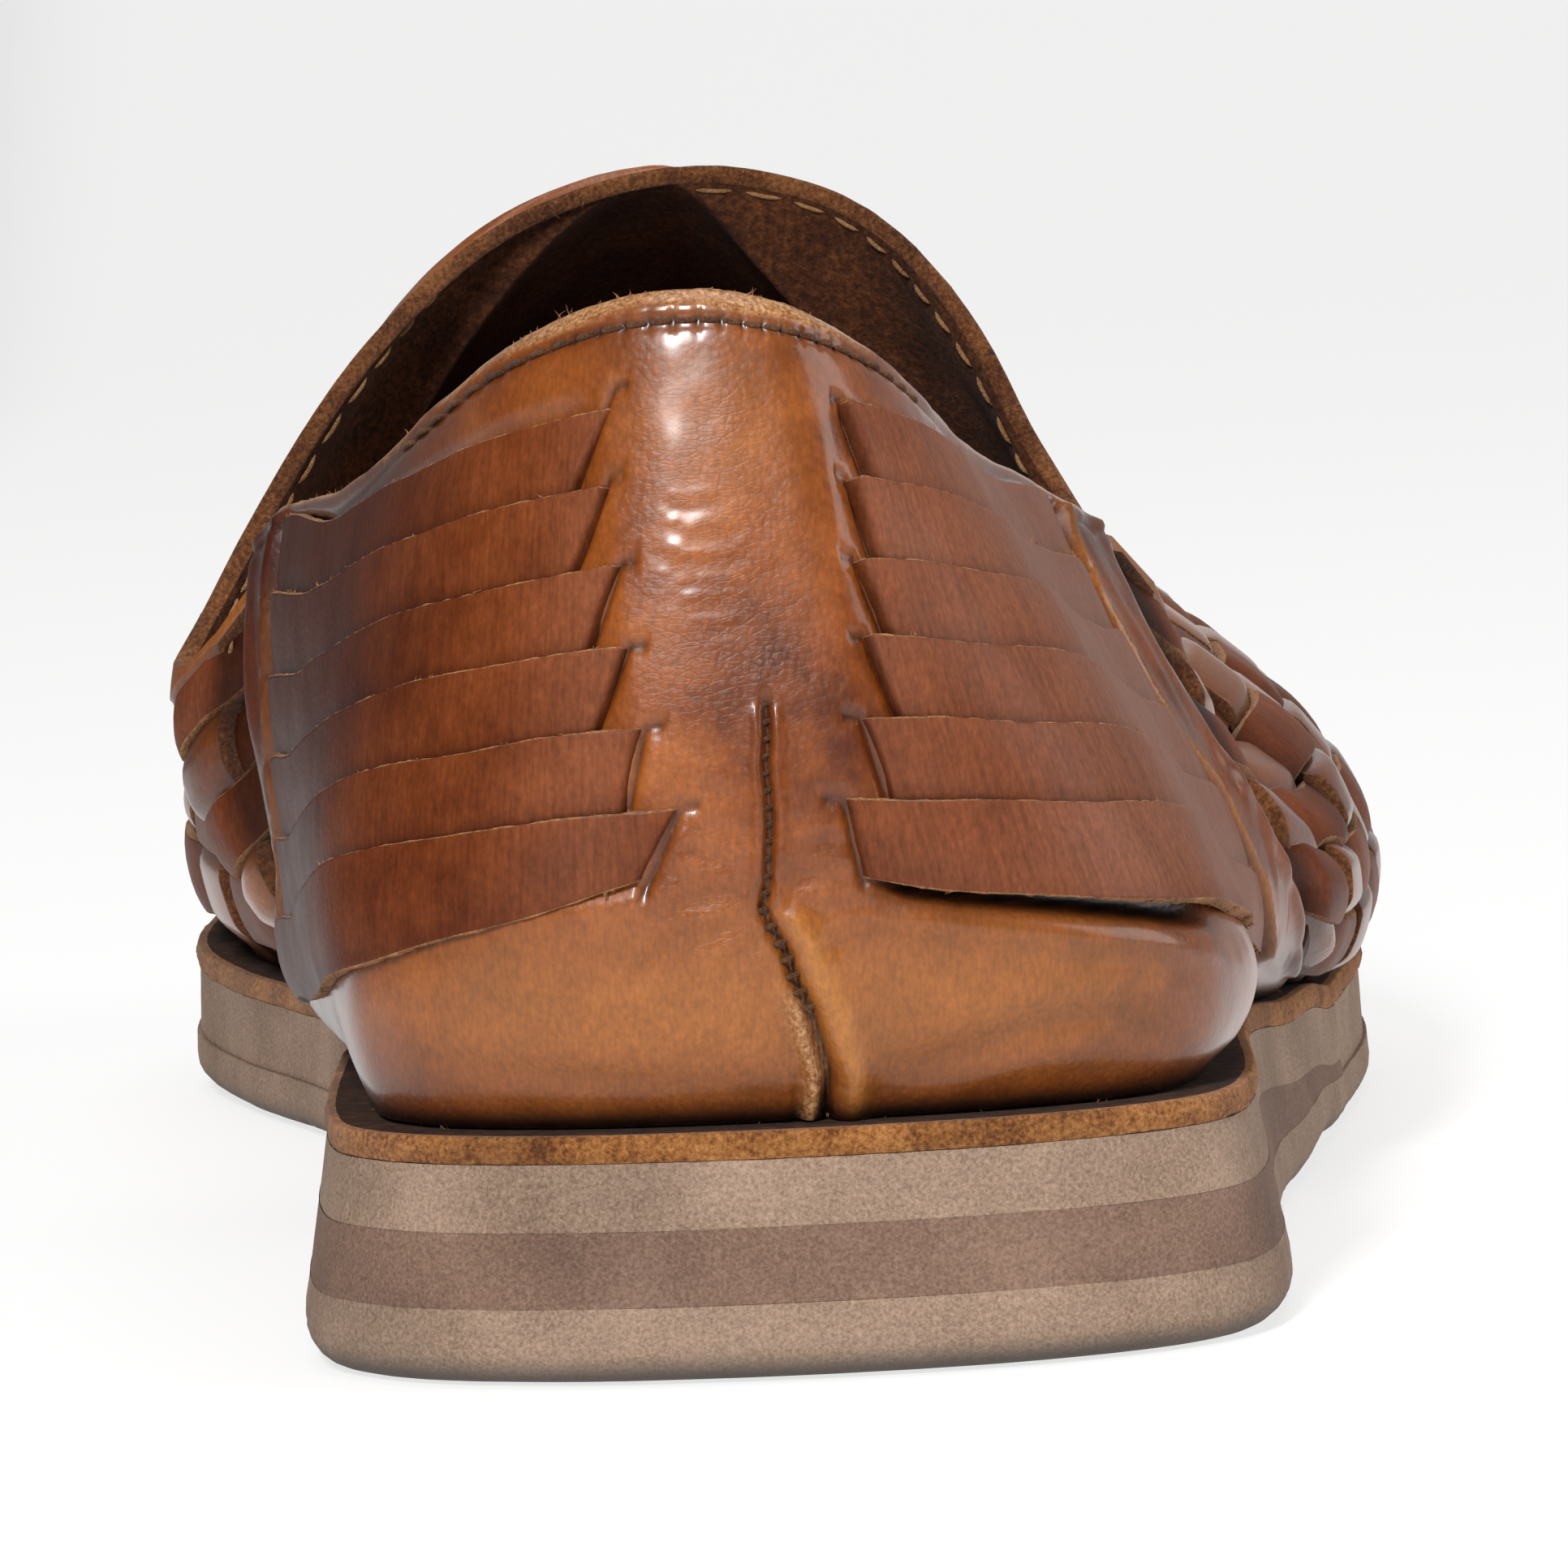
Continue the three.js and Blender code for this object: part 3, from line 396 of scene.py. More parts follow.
# Gives a sheet its thickness: a flesh side and a cut rim, rounded and a little rough, all round its edge
def closeSheet(outer, normal, quads, thickness, cut):
    outer = outer.reshape(-1, 3)
    normal = normal.reshape(-1, 3)
    inner = outer - normal * thickness
    edges = np.concatenate([quads[:, [k, (k + 1) % 4]] for k in range(4)])
    key = edges.min(1) * len(outer) + edges.max(1)
    _, first, count = np.unique(key, return_index=True, return_counts=True)
    border = edges[first[count == 1]]
    tangent = outer[border[:, 1]] - outer[border[:, 0]]
    away = np.zeros_like(outer)
    for end in (0, 1):
        np.add.at(away, border[:, end], np.cross(tangent, normal[border[:, end]]))
    rimIds = np.unique(border)
    away = away[rimIds] / (np.linalg.norm(away[rimIds], axis=1, keepdims=True) + 1e-12)
    place = np.zeros(len(outer), int)
    place[rimIds] = np.arange(len(rimIds))
    rows, sources = [outer, inner], [np.arange(len(outer)), np.arange(len(outer))]
    lines = [border]
    for share, bulge in cut["rim"]:
        spot = outer[rimIds] * (1 - share) + inner[rimIds] * share
        rough = noiseAt(spot, cut["roughSize"], 3) + 0.5 * noiseAt(spot, cut["roughSize"] / 2.3, 4)
        start = sum(len(row) for row in rows)
        rows.append(spot + away * (bulge * cut["bulge"] + cut["rough"] * rough)[:, None])
        sources.append(rimIds)
        lines.append(place[border] + start)
    lines.append(border + len(outer))
    rimQuads = [np.stack([a[:, 1], a[:, 0], b[:, 0], b[:, 1]], -1) for a, b in zip(lines[:-1], lines[1:])]
    allQuads = np.concatenate([quads, quads[:, ::-1] + len(outer), *rimQuads])
    faceCount, rimCount = len(quads), len(border) * len(rimQuads)
    # slots: face, flesh side, cut edge
    slots = np.concatenate([np.zeros(faceCount), np.full(faceCount, 2), np.ones(rimCount)])
    rim = (border, away, place, outer, normal, thickness)
    return np.concatenate(rows), allQuads, slots, np.concatenate(sources), rim


cutEdge = {
    "rim": [(0.06, 0.55), (0.25, 0.9), (0.5, 1.0), (0.75, 0.9), (0.94, 0.5)],  # share of the thickness, bulge
    "bulge": 0.18, "rough": 0.07, "roughSize": 0.9,
}


# Makes a piece of a sheet's outer points: fuzz gives its edge fibres, as (length in mm, how many to 10 mm)
def addSheet(name, outer, normal, quads, thickness, materials, marks, fuzz, cut=cutEdge):
    flat = len(outer.reshape(-1, 3))
    points, quads, slots, source, rim = closeSheet(outer, normal, quads, thickness, cut)
    used = np.unique(quads)
    renumber = np.zeros(len(points), int)
    renumber[used] = np.arange(len(used))
    found = {}
    for mark, values in marks.items():
        values = np.broadcast_to(values, outer.shape[:2] + np.shape(values)[2:])
        found[mark] = values.reshape(flat, -1).squeeze()[source][used]
    edgeSpots.append((rim, fuzz))
    return makeObject(name, points[used], renumber[quads], materials, slots, found)


def flatQuads(shape):
    return gridQuads(np.arange(shape[0] * shape[1]).reshape(shape)).reshape(-1, 4)


def clipped(**marks):
    return {name: np.clip(values, 0, 1) for name, values in marks.items()}


def layWay(*ways):
    return np.stack(np.broadcast_arrays(*ways), -1)


# Materials: built first, so that every piece can take its own
def linear(hexColour):
    parts = [int(hexColour[k:k + 2], 16) / 255 for k in (1, 3, 5)]
    return [c / 12.92 if c <= 0.04045 else ((c + 0.055) / 1.055) ** 2.4 for c in parts] + [1]


def addNode(tree, kind, settings=None, **inputs):
    node = tree.nodes.new(kind)
    for key, value in (settings or {}).items():
        setattr(node, key, value)
    for key, value in inputs.items():
        numbered = key.startswith("in") and key[2:].isdigit()
        socket = node.inputs[int(key[2:]) if numbered else key.replace("_", " ")]
        if isinstance(value, bpy.types.NodeSocket):
            tree.links.new(value, socket)
        else:
            socket.default_value = value
    return node


def newMaterial(name):
    material = bpy.data.materials.new(name)
    material.use_nodes = True
    tree = material.node_tree
    tree.nodes.clear()
    out = addNode(tree, "ShaderNodeOutputMaterial")
    return material, tree, out


def ramp(tree, factor, stops):
    node = addNode(tree, "ShaderNodeValToRGB", Fac=factor)
    while len(node.color_ramp.elements) < len(stops):
        node.color_ramp.elements.new(0.5)
    for element, (position, colour) in zip(node.color_ramp.elements, stops):
        element.position = position
        element.color = linear(colour) if isinstance(colour, str) else (colour, colour, colour, 1)
    return node.outputs["Color"]


def mix(tree, factor, a, b, mode="MIX"):
    node = addNode(tree, "ShaderNodeMix", {"data_type": "RGBA", "blend_type": mode}, in0=factor)
    for k, value in ((6, a), (7, b)):
        if isinstance(value, bpy.types.NodeSocket):
            tree.links.new(value, node.inputs[k])
        else:
            node.inputs[k].default_value = linear(value) if isinstance(value, str) else value
    return node.outputs[2]


def reckon(tree, operation, a, b=0.5, clamp=False):
    settings = {"operation": operation, "use_clamp": clamp}
    return addNode(tree, "ShaderNodeMath", settings, in0=a, in1=b).outputs[0]


def plus(tree, a, b, clamp=False):
    return reckon(tree, "ADD", a, b, clamp)


def times(tree, a, b):
    return reckon(tree, "MULTIPLY", a, b)


def weighed(tree, a, shareA, b, shareB):
    return plus(tree, times(tree, a, shareA), times(tree, b, shareB))


# The colour, shaded by a grey pattern as far as share says
def shaded(tree, share, colour, pattern):
    return mix(tree, share, colour, mix(tree, 1.0, colour, pattern, "MULTIPLY"))


def mark(tree, name, vector=False):
    node = addNode(tree, "ShaderNodeAttribute", {"attribute_name": name})
    return node.outputs["Vector" if vector else "Fac"]


perMm = 1000  # object coordinates are metres


def grain(tree, place, sizeMm, detail=3, rough=0.55):
    node = addNode(tree, "ShaderNodeTexNoise", Vector=place, Scale=perMm / sizeMm, Detail=detail,
                   Roughness=rough)
    return node.outputs["Fac"]


def stretched(tree, place, scale):
    return addNode(tree, "ShaderNodeMapping", Vector=place, Scale=scale).outputs[0]


# Ends a material: its surface, with the constants of the finish set straight on the shader
def finishMaterial(material, tree, out, colour, rough, height, bumpShare, bumpDepth, finish):
    bump = addNode(tree, "ShaderNodeBump", Height=height, Strength=bumpShare, Distance=bumpDepth)
    shader = addNode(tree, "ShaderNodeBsdfPrincipled", Base_Color=colour, Roughness=rough,
                     Normal=bump.outputs[0])
    for name, value in finish.items():
        shader.inputs[name].default_value = value
    tree.links.new(shader.outputs[0], out.inputs[0])
    return material


# Pull-up cowhide, vegetable tanned, cognac: waxy gloss over a fine pebble, darker where it was burnished;
# painted shade darkens its hollows and its inner side
leatherLook = {
    "deep": "#552408", "mid": "#7f3f12", "light": "#9b5520", "ochre": "#a8692c",
    "burnished": "#42190a", "soil": "#160905",
    "pebbleMm": 0.55, "poreMm": 0.22, "mottleMm": 6, "cloudMm": 20, "fibreMm": 0.32, "wrinkleMm": 1.3,
    "roughness": 0.42, "coat": 0.5, "coatRoughness": 0.17, "ior": 1.45, "specular": 0.35,
}


def tannedLeather(name, look, streaks=0.0):
    material, tree, out = newMaterial(name)
    place = addNode(tree, "ShaderNodeTexCoord").outputs["Object"]
    burnish, worn, dark = mark(tree, "burnish"), mark(tree, "worn"), mark(tree, "dark")
    cloud = grain(tree, place, look["cloudMm"], 4, 0.6)
    mottle = grain(tree, place, look["mottleMm"], 5, 0.65)
    tone = weighed(tree, cloud, 0.5, mottle, 0.5)
    colour = ramp(tree, tone, [(0.36, look["deep"]), (0.5, look["mid"]), (0.64, look["light"])])
    # the worn mark lightens: real wear on the counter, plug and hoops, painted sheen on the side straps
    colour = mix(tree, worn, colour, look["ochre"])
    if streaks:
        lay = stretched(tree, mark(tree, "lay", True), (1 / 0.45, 1 / 9.0, 1))
        streak = grain(tree, lay, perMm, 3, 0.6)
        streakShade = ramp(tree, streak, [(0.35, 0.55), (0.55, 1.0), (0.75, 1.25)])
        colour = shaded(tree, streaks, colour, streakShade)
    # burnished tone, which on the inner side is also painted shade
    burnt = plus(tree, burnish, times(tree, reckon(tree, "SUBTRACT", mottle, 0.5), 0.9), True)
    colour = mix(tree, times(tree, burnt, burnish), colour, look["burnished"])
    pebble = addNode(tree, "ShaderNodeTexVoronoi", {"feature": "SMOOTH_F1"}, Vector=place,
                     Scale=perMm / look["pebbleMm"], Smoothness=0.6).outputs["Distance"]
    pores = ramp(tree, pebble, [(0.25, 1.0), (0.75, 0.8)])
    colour = shaded(tree, 0.55, colour, pores)
    # fibres under the wax run up the hide, drawn coarser than they are so that they show
    upHide = stretched(tree, place, (1, 1, 0.3))
    fibre = ramp(tree, grain(tree, upHide, look["fibreMm"], 3, 0.7), [(0.34, 0.66), (0.5, 1.0), (0.66, 1.3)])
    colour = shaded(tree, 0.5, colour, fibre)
    # painted shade: the dark mark darkens grooves, creases, slits, slots, gaps and the weave's hollows
    # towards near black
    colour = mix(tree, dark, colour, look["soil"])
    raw = mark(tree, "raw")
    fluff = grain(tree, place, 0.35, 4, 0.7)
    unsealed = ramp(tree, fluff, [(0.36, "#6a3f1f"), (0.5, "#9c6b3f"), (0.64, "#c0946a")])
    colour = mix(tree, raw, colour, unsealed)
    fine = grain(tree, place, look["poreMm"], 2)
    wrinkle = addNode(tree, "ShaderNodeTexVoronoi", {"feature": "DISTANCE_TO_EDGE"},
                      Vector=stretched(tree, place, (1, 1, 2.6)), Scale=perMm / look["wrinkleMm"])
    wrinkle = ramp(tree, wrinkle.outputs["Distance"], [(0.0, 0.0), (0.12, 1.0)])
    wrinkle = times(tree, wrinkle, mark(tree, "crackle"))
    height = plus(tree, weighed(tree, pebble, -0.5, fine, 0.25), times(tree, wrinkle, 0.2))
    rough = plus(tree, look["roughness"] - 0.12, times(tree, mottle, 0.24))
    rough = plus(tree, rough, times(tree, raw, 0.5), True)
    finish = {"IOR": look["ior"], "Specular IOR Level": look["specular"], "Coat Weight": look["coat"],
              "Coat Roughness": look["coatRoughness"]}
    return finishMaterial(material, tree, out, colour, rough, height, 0.42, 0.00018, finish)


cognacLeather = tannedLeather("cognacPullUpLeather", leatherLook)
# the straps' hide has lost its wax: darker, redder and nearly matt, with streaks along each strap; the
# greyish mauve tint that the worn mark brings in on the side straps is painted sheen
stripLook = {**leatherLook, "deep": "#4c1f0b", "mid": "#6d3416", "light": "#854522", "ochre": "#8c5a44",
             "burnished": "#3a150a", "roughness": 0.48, "coat": 0.04, "specular": 0.11}
stripLeather = tannedLeather("burnishedStripLeather", stripLook, streaks=0.4)


# Raw cut edge of thick cowhide: the pale fibrous middle layer, unsealed, with a nap
def rawCut(name, pale, mid, deep, fibreMm, soiling=1.0, sheen=0.1):
    material, tree, out = newMaterial(name)
    place = addNode(tree, "ShaderNodeTexCoord").outputs["Object"]
    fluff = grain(tree, place, fibreMm, 4, 0.7)
    cloud = grain(tree, place, 6, 3)
    tone = weighed(tree, fluff, 0.65, cloud, 0.35)
    colour = ramp(tree, tone, [(0.38, deep), (0.5, mid), (0.64, pale)])
    # the dark mark darkens towards near black: painted shade on the cut edges and the flesh side, real stains
    # and uneven tone on the insole and the board
    colour = mix(tree, times(tree, mark(tree, "dark"), soiling), colour, "#2a140a")
    finish = {"Sheen Weight": sheen, "Sheen Roughness": 0.5, "Specular IOR Level": 0.2}
    return finishMaterial(material, tree, out, colour, 0.88, fluff, 0.9, 0.0003, finish)


cutLeather = rawCut("rawCutLeatherEdge", "#b5875a", "#94633a", "#5f3719", 0.35)
dyedEdge = rawCut("dyedRubbedEdge", "#85552f", "#5e361a", "#38190a", 0.4)
boardEdge = rawCut("rawBoardLeatherEdge", "#b67f4a", "#8f5a2b", "#582f12", 0.4)
# the board's top is coloured dark: dust, and painted shade where the upper's foot overhangs it
boardTopSide = rawCut("dustAndShadeBoardTop", "#4c2c16", "#331b0c", "#1e0e06", 1.5, sheen=0.02)
# Flesh side: brushed suede, dark brown, darkened a little by the painted shade marked on the face
fleshSide = rawCut("brushedFleshSide", "#6a3d20", "#472512", "#2b1408", 0.6, soiling=0.1, sheen=0.03)
sockLeather = rawCut("wornSockLeather", "#8a5c38", "#5d3a22", "#382013", 1.2)
threadTan = rawCut("waxedThreadTan", "#b99062", "#94683c", "#5f3c20", 0.2)
threadBrown = rawCut("waxedThreadBrown", "#7d5230", "#5b3518", "#331a0b", 0.2)


# Closed-cell foam rubber, cut and sanded: matt, speckled with crumbs of other shades
def foamRubber(name, pale, mid, deep):
    material, tree, out = newMaterial(name)
    place = addNode(tree, "ShaderNodeTexCoord").outputs["Object"]
    speck = grain(tree, place, 0.3, 2, 0.8)
    cloud = grain(tree, place, 14, 3)
    colour = ramp(tree, weighed(tree, speck, 0.6, cloud, 0.4), [(0.34, deep), (0.5, mid), (0.66, pale)])
    # darker grey where the dark mark says: at the outsole's bottom edge and in random patches
    colour = mix(tree, mark(tree, "dark"), colour, "#4c4743")
    return finishMaterial(material, tree, out, colour, 0.86, speck, 0.6, 0.0002, {"Specular IOR Level": 0.35})


taupeFoam = foamRubber("sandedTaupeFoam", "#a88d7a", "#8a7361", "#675243")
brownFoam = foamRubber("sandedBrownFoam", "#8c7060", "#725849", "#533f34")
print("materials made")


# Counter: the heel piece with its two wings, one skin from wing to wing
def spread(stops, spacing):
    # turns from the first stop to the last, spacing(turn) mm apart
    found = [stops[0]]
    while found[-1] < stops[1]:
        found.append(found[-1] + spacing(found[-1]) / halfWay)
    found = np.array(found)
    return stops[0] + (found - stops[0]) * (stops[1] - stops[0]) / (found[-1] - stops[0])


def mmPlace(turn, girth):
    return turn * halfWay, girth * sectionLength(turn)


# Signed distance in mm to a drawn path of (around, up) points, and how far along it: positive on its right
def nearPath(around, up, path):
    best = np.full(around.shape, 1e9)
    signed = np.zeros(around.shape)
    share = np.zeros(around.shape)
    path = np.array(path, float)
    steps = np.linalg.norm(np.diff(path, axis=0), axis=1)
    total, run = steps.sum(), 0
    for a, b, step in zip(path[:-1], path[1:], steps):
        d = (b - a) / step
        x, y = around - a[0], up - a[1]
        t = np.clip(x * d[0] + y * d[1], 0, step)
        dx, dy = x - t * d[0], y - t * d[1]
        distance = np.hypot(dx, dy)
        closer = distance < best
        best = np.where(closer, distance, best)
        signed = np.where(closer, distance * np.sign(dy * d[0] - dx * d[1]), signed)
        share = np.where(closer, (run + t) / total, share)
        run += step
    return best, signed, share


def trough(distance, width):
    return np.exp(-(distance / width) ** 2)


counterLook = {
    "reach": shoe["bandFront"], "wingFrom": 0.2, "thickness": 2.0, "rows": 104,
    # girth and turn of the wing's front edge, and of the slots where the side strips go in again
    "front": {1: [(0, 0.385), (0.081, 0.376), (0.256, 0.3475), (0.369, 0.334), (0.463, 0.3225),
                  (0.625, 0.317), (0.775, 0.318), (1, 0.332)],
              -1: [(0, 0.36), (0.3, 0.345), (1, 0.342)]},
    "slots": {1: [(0, 0.32), (0.131, 0.314), (0.312, 0.3017), (0.444, 0.29), (0.531, 0.282), (0.675, 0.277),
                  (0.812, 0.278), (1, 0.29)],
              -1: [(0, 0.318), (0.3, 0.306), (0.6, 0.3), (1, 0.302)]},
    "stitchIn": 2.3, "stitchGroove": 0.35, "stitchPitch": 3.4, "sewn": (-0.15, 0.115),
    "whipFrom": 31.2, "whipTo": 8.5, "whipPitch": 1.25,
    # turn and mm: the collar stands a little higher at the back and on the inner side of the foot
    "collarRise": [(-0.19, 0), (-0.13, 0.9), (-0.1, 1.4), (-0.05, 1.6), (-0.02, 1.35), (0, 1.0), (0.02, 0.55),
                   (0.05, 0.1), (0.07, 0)],
    "seam": [(2.2, 32.5), (1.6, 31.2), (1.3, 28.2), (0.8, 23.6), (0.1, 18.3), (-0.5, 16.4), (0.8, 12.9),
             (2.0, 9.5), (2.7, 7.2), (3.5, 3.4), (2.9, -1)],
    # drawn creases: depth and half width in mm, then their points, around the heel and up from the sole
    "creases": [
        (0.16, 0.3, [(-9.5, 46.0), (-6, 45.0), (-2, 45.4), (1.5, 46.2)]),
        (0.18, 0.3, [(-9, 44.0), (-5, 43.1), (0, 43.3), (3, 44.4)]),
        (0.2, 0.32, [(-10, 42.2), (-6, 41.2), (-1, 41.3), (3.4, 42.6)]),
        (0.16, 0.28, [(-8, 40.6), (-4, 39.8), (0.5, 40.0)]),
        (0.14, 0.28, [(-9, 38.8), (-4, 38.2), (1.4, 38.8)]),
        (0.12, 0.26, [(-6, 36.9), (-2, 36.5), (2.4, 37.2)]),
        (0.3, 0.7, [(-0.5, 16.6), (-3.5, 17.6), (-6.5, 17.2), (-9, 16.2)]),
        (0.25, 0.6, [(-0.5, 15.8), (-3, 15.2), (-6, 14.0), (-8.5, 11.8)]),
        (0.22, 0.6, [(-0.3, 17.4), (-2.8, 19.4), (-6, 20.8), (-9, 20.4)]),
        (0.2, 0.6, [(0.2, 14.6), (-2.4, 13.2), (-4.5, 10.4)]),
        (0.16, 0.5, [(1.0, 12.6), (-1.0, 10.2), (-2.4, 6.8), (-2.8, 4)]),
        (0.4, 0.8, [(0.2, 18.0), (3.5, 18.6), (7.9, 18.2)]),
        (0.24, 0.6, [(0.4, 17.2), (3.6, 16.2), (7.2, 16.6), (12, 15.4)]),
        (0.2, 0.7, [(1.6, 12.0), (5, 13.6), (9, 13.2)]),
        (0.5, 1.2, [(6, 3.4), (12, 4.2), (19, 6.4), (26, 7.0), (31, 5.0), (34, 2.6)]),
        (0.3, 0.5, [(-6, 15.4), (-9.4, 13.4), (-12, 10.2)]),
        (0.26, 0.5, [(-4.4, 18.4), (-8, 19.2), (-11.5, 18.2)]),
        (0.2, 0.45, [(-3.4, 21.6), (-6, 22.6), (-8.6, 22.4)]),
        (0.2, 0.45, [(-2.2, 24.2), (-4.4, 25.4), (-6.6, 25.4)]),
        (0.3, 0.5, [(2.6, 20.2), (5.2, 21.0), (8.6, 20.6)]),
        (0.18, 0.8, [(-30, 6.2), (-22, 4.6), (-12, 3.8), (-4, 3.4)]),
    ],
    # where each side strip dives into its slit: turn at its lower and upper edge, lowest strip first
    "slits": {
        1: [(0.0233, 0.0225), (0.0342, 0.0325), (0.0442, 0.0408), (0.0492, 0.0458), (0.0542, 0.0525),
            (0.064, 0.0585)],
        -1: [(0.03, 0.0208), (0.0342, 0.03), (0.0442, 0.035), (0.0475, 0.0383), (0.055, 0.0433),
             (0.0567, 0.0425)],
    },
}


def sideLine(name, turn, girth):
    lines = counterLook[name]
    return np.where(turn > 0, along(lines[1], 1, girth), along(lines[-1], 1, girth))


def slitPath(sign, hoop, past=1.6):
    foot, head = counterLook["slits"][sign][hoop]
    low, high = rowGirth(foot, 2 * hoop), rowGirth(head, 2 * hoop + 2)
    a = (sign * foot * halfWay, low * sectionLength(sign * foot))
    b = (sign * head * halfWay, high * sectionLength(sign * head))
    return [a, b, (b[0] - sign * past, b[1] + 0.2)]


def collarRise(turn, girth):
    return along(counterLook["collarRise"], 1, np.clip(turn, -0.19, 0.07)) * ease(0.55, 1, girth)


# mm between the counter's columns: close at the heel's creases and at the slots, wide under the strips
def counterSpacing(turn):
    return 0.36 + 0.7 * float(ease(0.05, 0.08, abs(turn)) * (1 - ease(0.235, 0.25, abs(turn))))


def buildCounter():
    look = counterLook
    turn = spread((-look["reach"], look["reach"]), counterSpacing)
    girth = np.linspace(0, 1, look["rows"])
    turn, girth = np.meshgrid(turn, girth, indexing="ij")
    wingFrom = look["wingFrom"]
    wing = np.clip((np.abs(turn) - wingFrom) / (look["reach"] - wingFrom), 0, 1)
    front = wingFrom + wing * (sideLine("front", turn, girth) - wingFrom)
    turn = np.where(wing > 0, np.sign(turn) * front, turn)
    around, up = mmPlace(turn, girth)
    spot = onNet(net, turn, girth)
    fromTop = sectionLength(turn) - up
    lift = 0.3 * noiseAt(spot, 26, 1) + 0.12 * noiseAt(spot, 9, 2) + 0.035 * noiseAt(spot, 2.2, 5)
    lift *= ease(0, 4, up)
    dark = np.zeros(turn.shape)
    worn = np.zeros(turn.shape)
    # edge rolled by wear, and the row of stitches drawn into the leather
    fromBack = np.where(turn > 0, turn, -turn - 0.05)
    rimDrop = (1.5 + 0.35 * noiseAt(spot, 5, 12)) * (1 - 0.6 * ease(0.1, 0.16, fromBack))
    lift -= 1.1 * np.clip(1 - fromTop / rimDrop, 0, 1) ** 1.4
    rawRim = ease(rimDrop * 1.05, rimDrop * 0.6, fromTop + 0.35 * noiseAt(spot, 0.8, 13))
    lift -= look["stitchGroove"] * trough(fromTop - look["stitchIn"], 0.5)
    # painted shade along the stitch groove
    dark += 0.3 * trough(fromTop - look["stitchIn"], 0.4)
    # heel seam: a gash above, and below it the right lip folds out over a frayed left one
    sway = 0.3 * noiseAt(np.stack([0 * up, up, 0 * up], -1), 2.3, 14) * ease(31, 27, up)
    distance, signed, share = nearPath(around + sway, up, look["seam"])
    inside = (share > 0.001) & (share < 0.999)
    lower = ease(0.42, 0.6, share)
    gash = trough(distance, 0.34 + 0.1 * lower) * ease(0, 0.06, share)
    lift -= (0.75 + 0.55 * lower) * gash
    # painted shade in the gash
    dark += (0.75 + 0.25 * lower) * trough(distance, 0.36) * ease(0, 0.05, share)
    rightLip = np.where(signed > 0, 1, 0)
    lift += 0.95 * lower * rightLip * trough(distance - 2.0, 1.25)
    lift += 0.35 * (1 - lower) * rightLip * trough(distance - 1.0, 0.5) * ease(0.02, 0.1, share)
    lift += 0.3 * (1 - lower) * (1 - rightLip) * trough(distance - 0.9, 0.5) * ease(0.02, 0.1, share)
    leftLip = ease(0.6, 0.72, share) * (1 - rightLip)
    lift += 0.45 * leftLip * trough(distance - 0.9, 0.7)
    lift -= 0.35 * leftLip * trough(distance - 2.1, 0.4)
    pucker = np.sin(share * 175 + 2.4 * noiseAt(spot, 3, 8)) * trough(distance - 1.2, 1.1)
    lift += 0.1 * pucker * inside
    worn += 0.8 * lower * rightLip * trough(distance - 2.1, 0.9)
    raw = np.maximum(leftLip * trough(distance - 1.0, 0.65) * ease(0.62, 0.7, share), rawRim)
    # creases, with painted shade in each
    for depth, width, path in look["creases"]:
        distance, _, share = nearPath(around, up, path)
        fade = np.sin(np.pi * np.clip(share, 0.04, 0.96))
        lift -= 0.75 * depth * fade * (trough(distance, width) - 0.45 * trough(distance - 2 * width, width))
        dark += 0.5 * depth * fade * trough(distance, width * 0.7)
    # the skin is pressed in under the side strips
    inStrips = ease(-0.006, 0.012, np.abs(turn) - np.interp(girth, [0.3, 0.86], [0.028, 0.05]))
    stripLow, stripHigh = rowGirth(turn, 0), rowGirth(turn, 2 * shoe["hoopCount"])
    inStrips *= ease(stripLow - 0.01, stripLow + 0.02, girth)
    inStrips *= 1 - ease(stripHigh - 0.02, stripHigh + 0.01, girth)
    fromSlot = (np.abs(turn) - sideLine("slots", turn, girth)) * halfWay
    lift -= 0.75 * inStrips * (1 - ease(-0.9, 0.7, fromSlot))
    # past the slots the wing lies over the strips' ends, folded lengthwise, with a rolled front edge
    margin = ease(-0.5, 1.6, fromSlot) * inStrips
    toFront = (sideLine("front", turn, girth) - np.abs(turn)) * halfWay
    folds = noiseAt(np.stack([around / 1.5, up / 9, 0 * up], -1), 1, 31)
    rolled = 0.5 * trough(toFront - 1.6, 1.5) - 0.5 * np.exp(-np.clip(toFront, 0, 9) / 0.6)
    lift += margin * (0.35 + 0.4 * folds + rolled)
    # the slots pucker: deeper where each strip goes in, shallow between two
    stripShare = (girth - stripLow) / (stripHigh - stripLow) * shoe["hoopCount"]
    mouth = 0.35 + 0.65 * np.abs(np.sin(np.pi * np.clip(stripShare, 0, shoe["hoopCount"]))) ** 0.6
    fromSlot = fromSlot + 0.9 * (mouth - 0.6)
    lift += (trough(fromSlot - 1.1, 0.75) - 1.2 * trough(fromSlot + 0.3, 0.7) * mouth) * inStrips
    # painted shade in the slots, deepest where a strip goes in
    dark += trough(fromSlot + 0.2, 0.6) * inStrips * (0.4 + 0.6 * mouth)
    worn += 0.7 * trough(fromSlot - 1.1, 0.6) * inStrips
    # slits, with painted shade along each
    for sign in (1, -1):
        for hoop in range(shoe["hoopCount"]):
            distance, _, _ = nearPath(around, up, slitPath(sign, hoop))
            lift -= 0.5 * trough(distance, 0.4)
            dark += 0.7 * trough(distance, 0.32)
    # gap under the lowest strip of the little-toe side, where the skin is pulled in, with a painted shadow in
    # it
    gap = ease(7, 12, around) * (1 - ease(34, 44, around))
    overEdge = up - along(sideStripLook["lowest"][1], 1, np.abs(turn)) * sectionLength(turn)
    lift -= gap * (1.3 * trough(overEdge + 0.2, 1.1) - 0.45 * trough(overEdge + 3.0, 1.4))
    dark += 1.3 * gap * trough(overEdge + 0.1, 1.3)
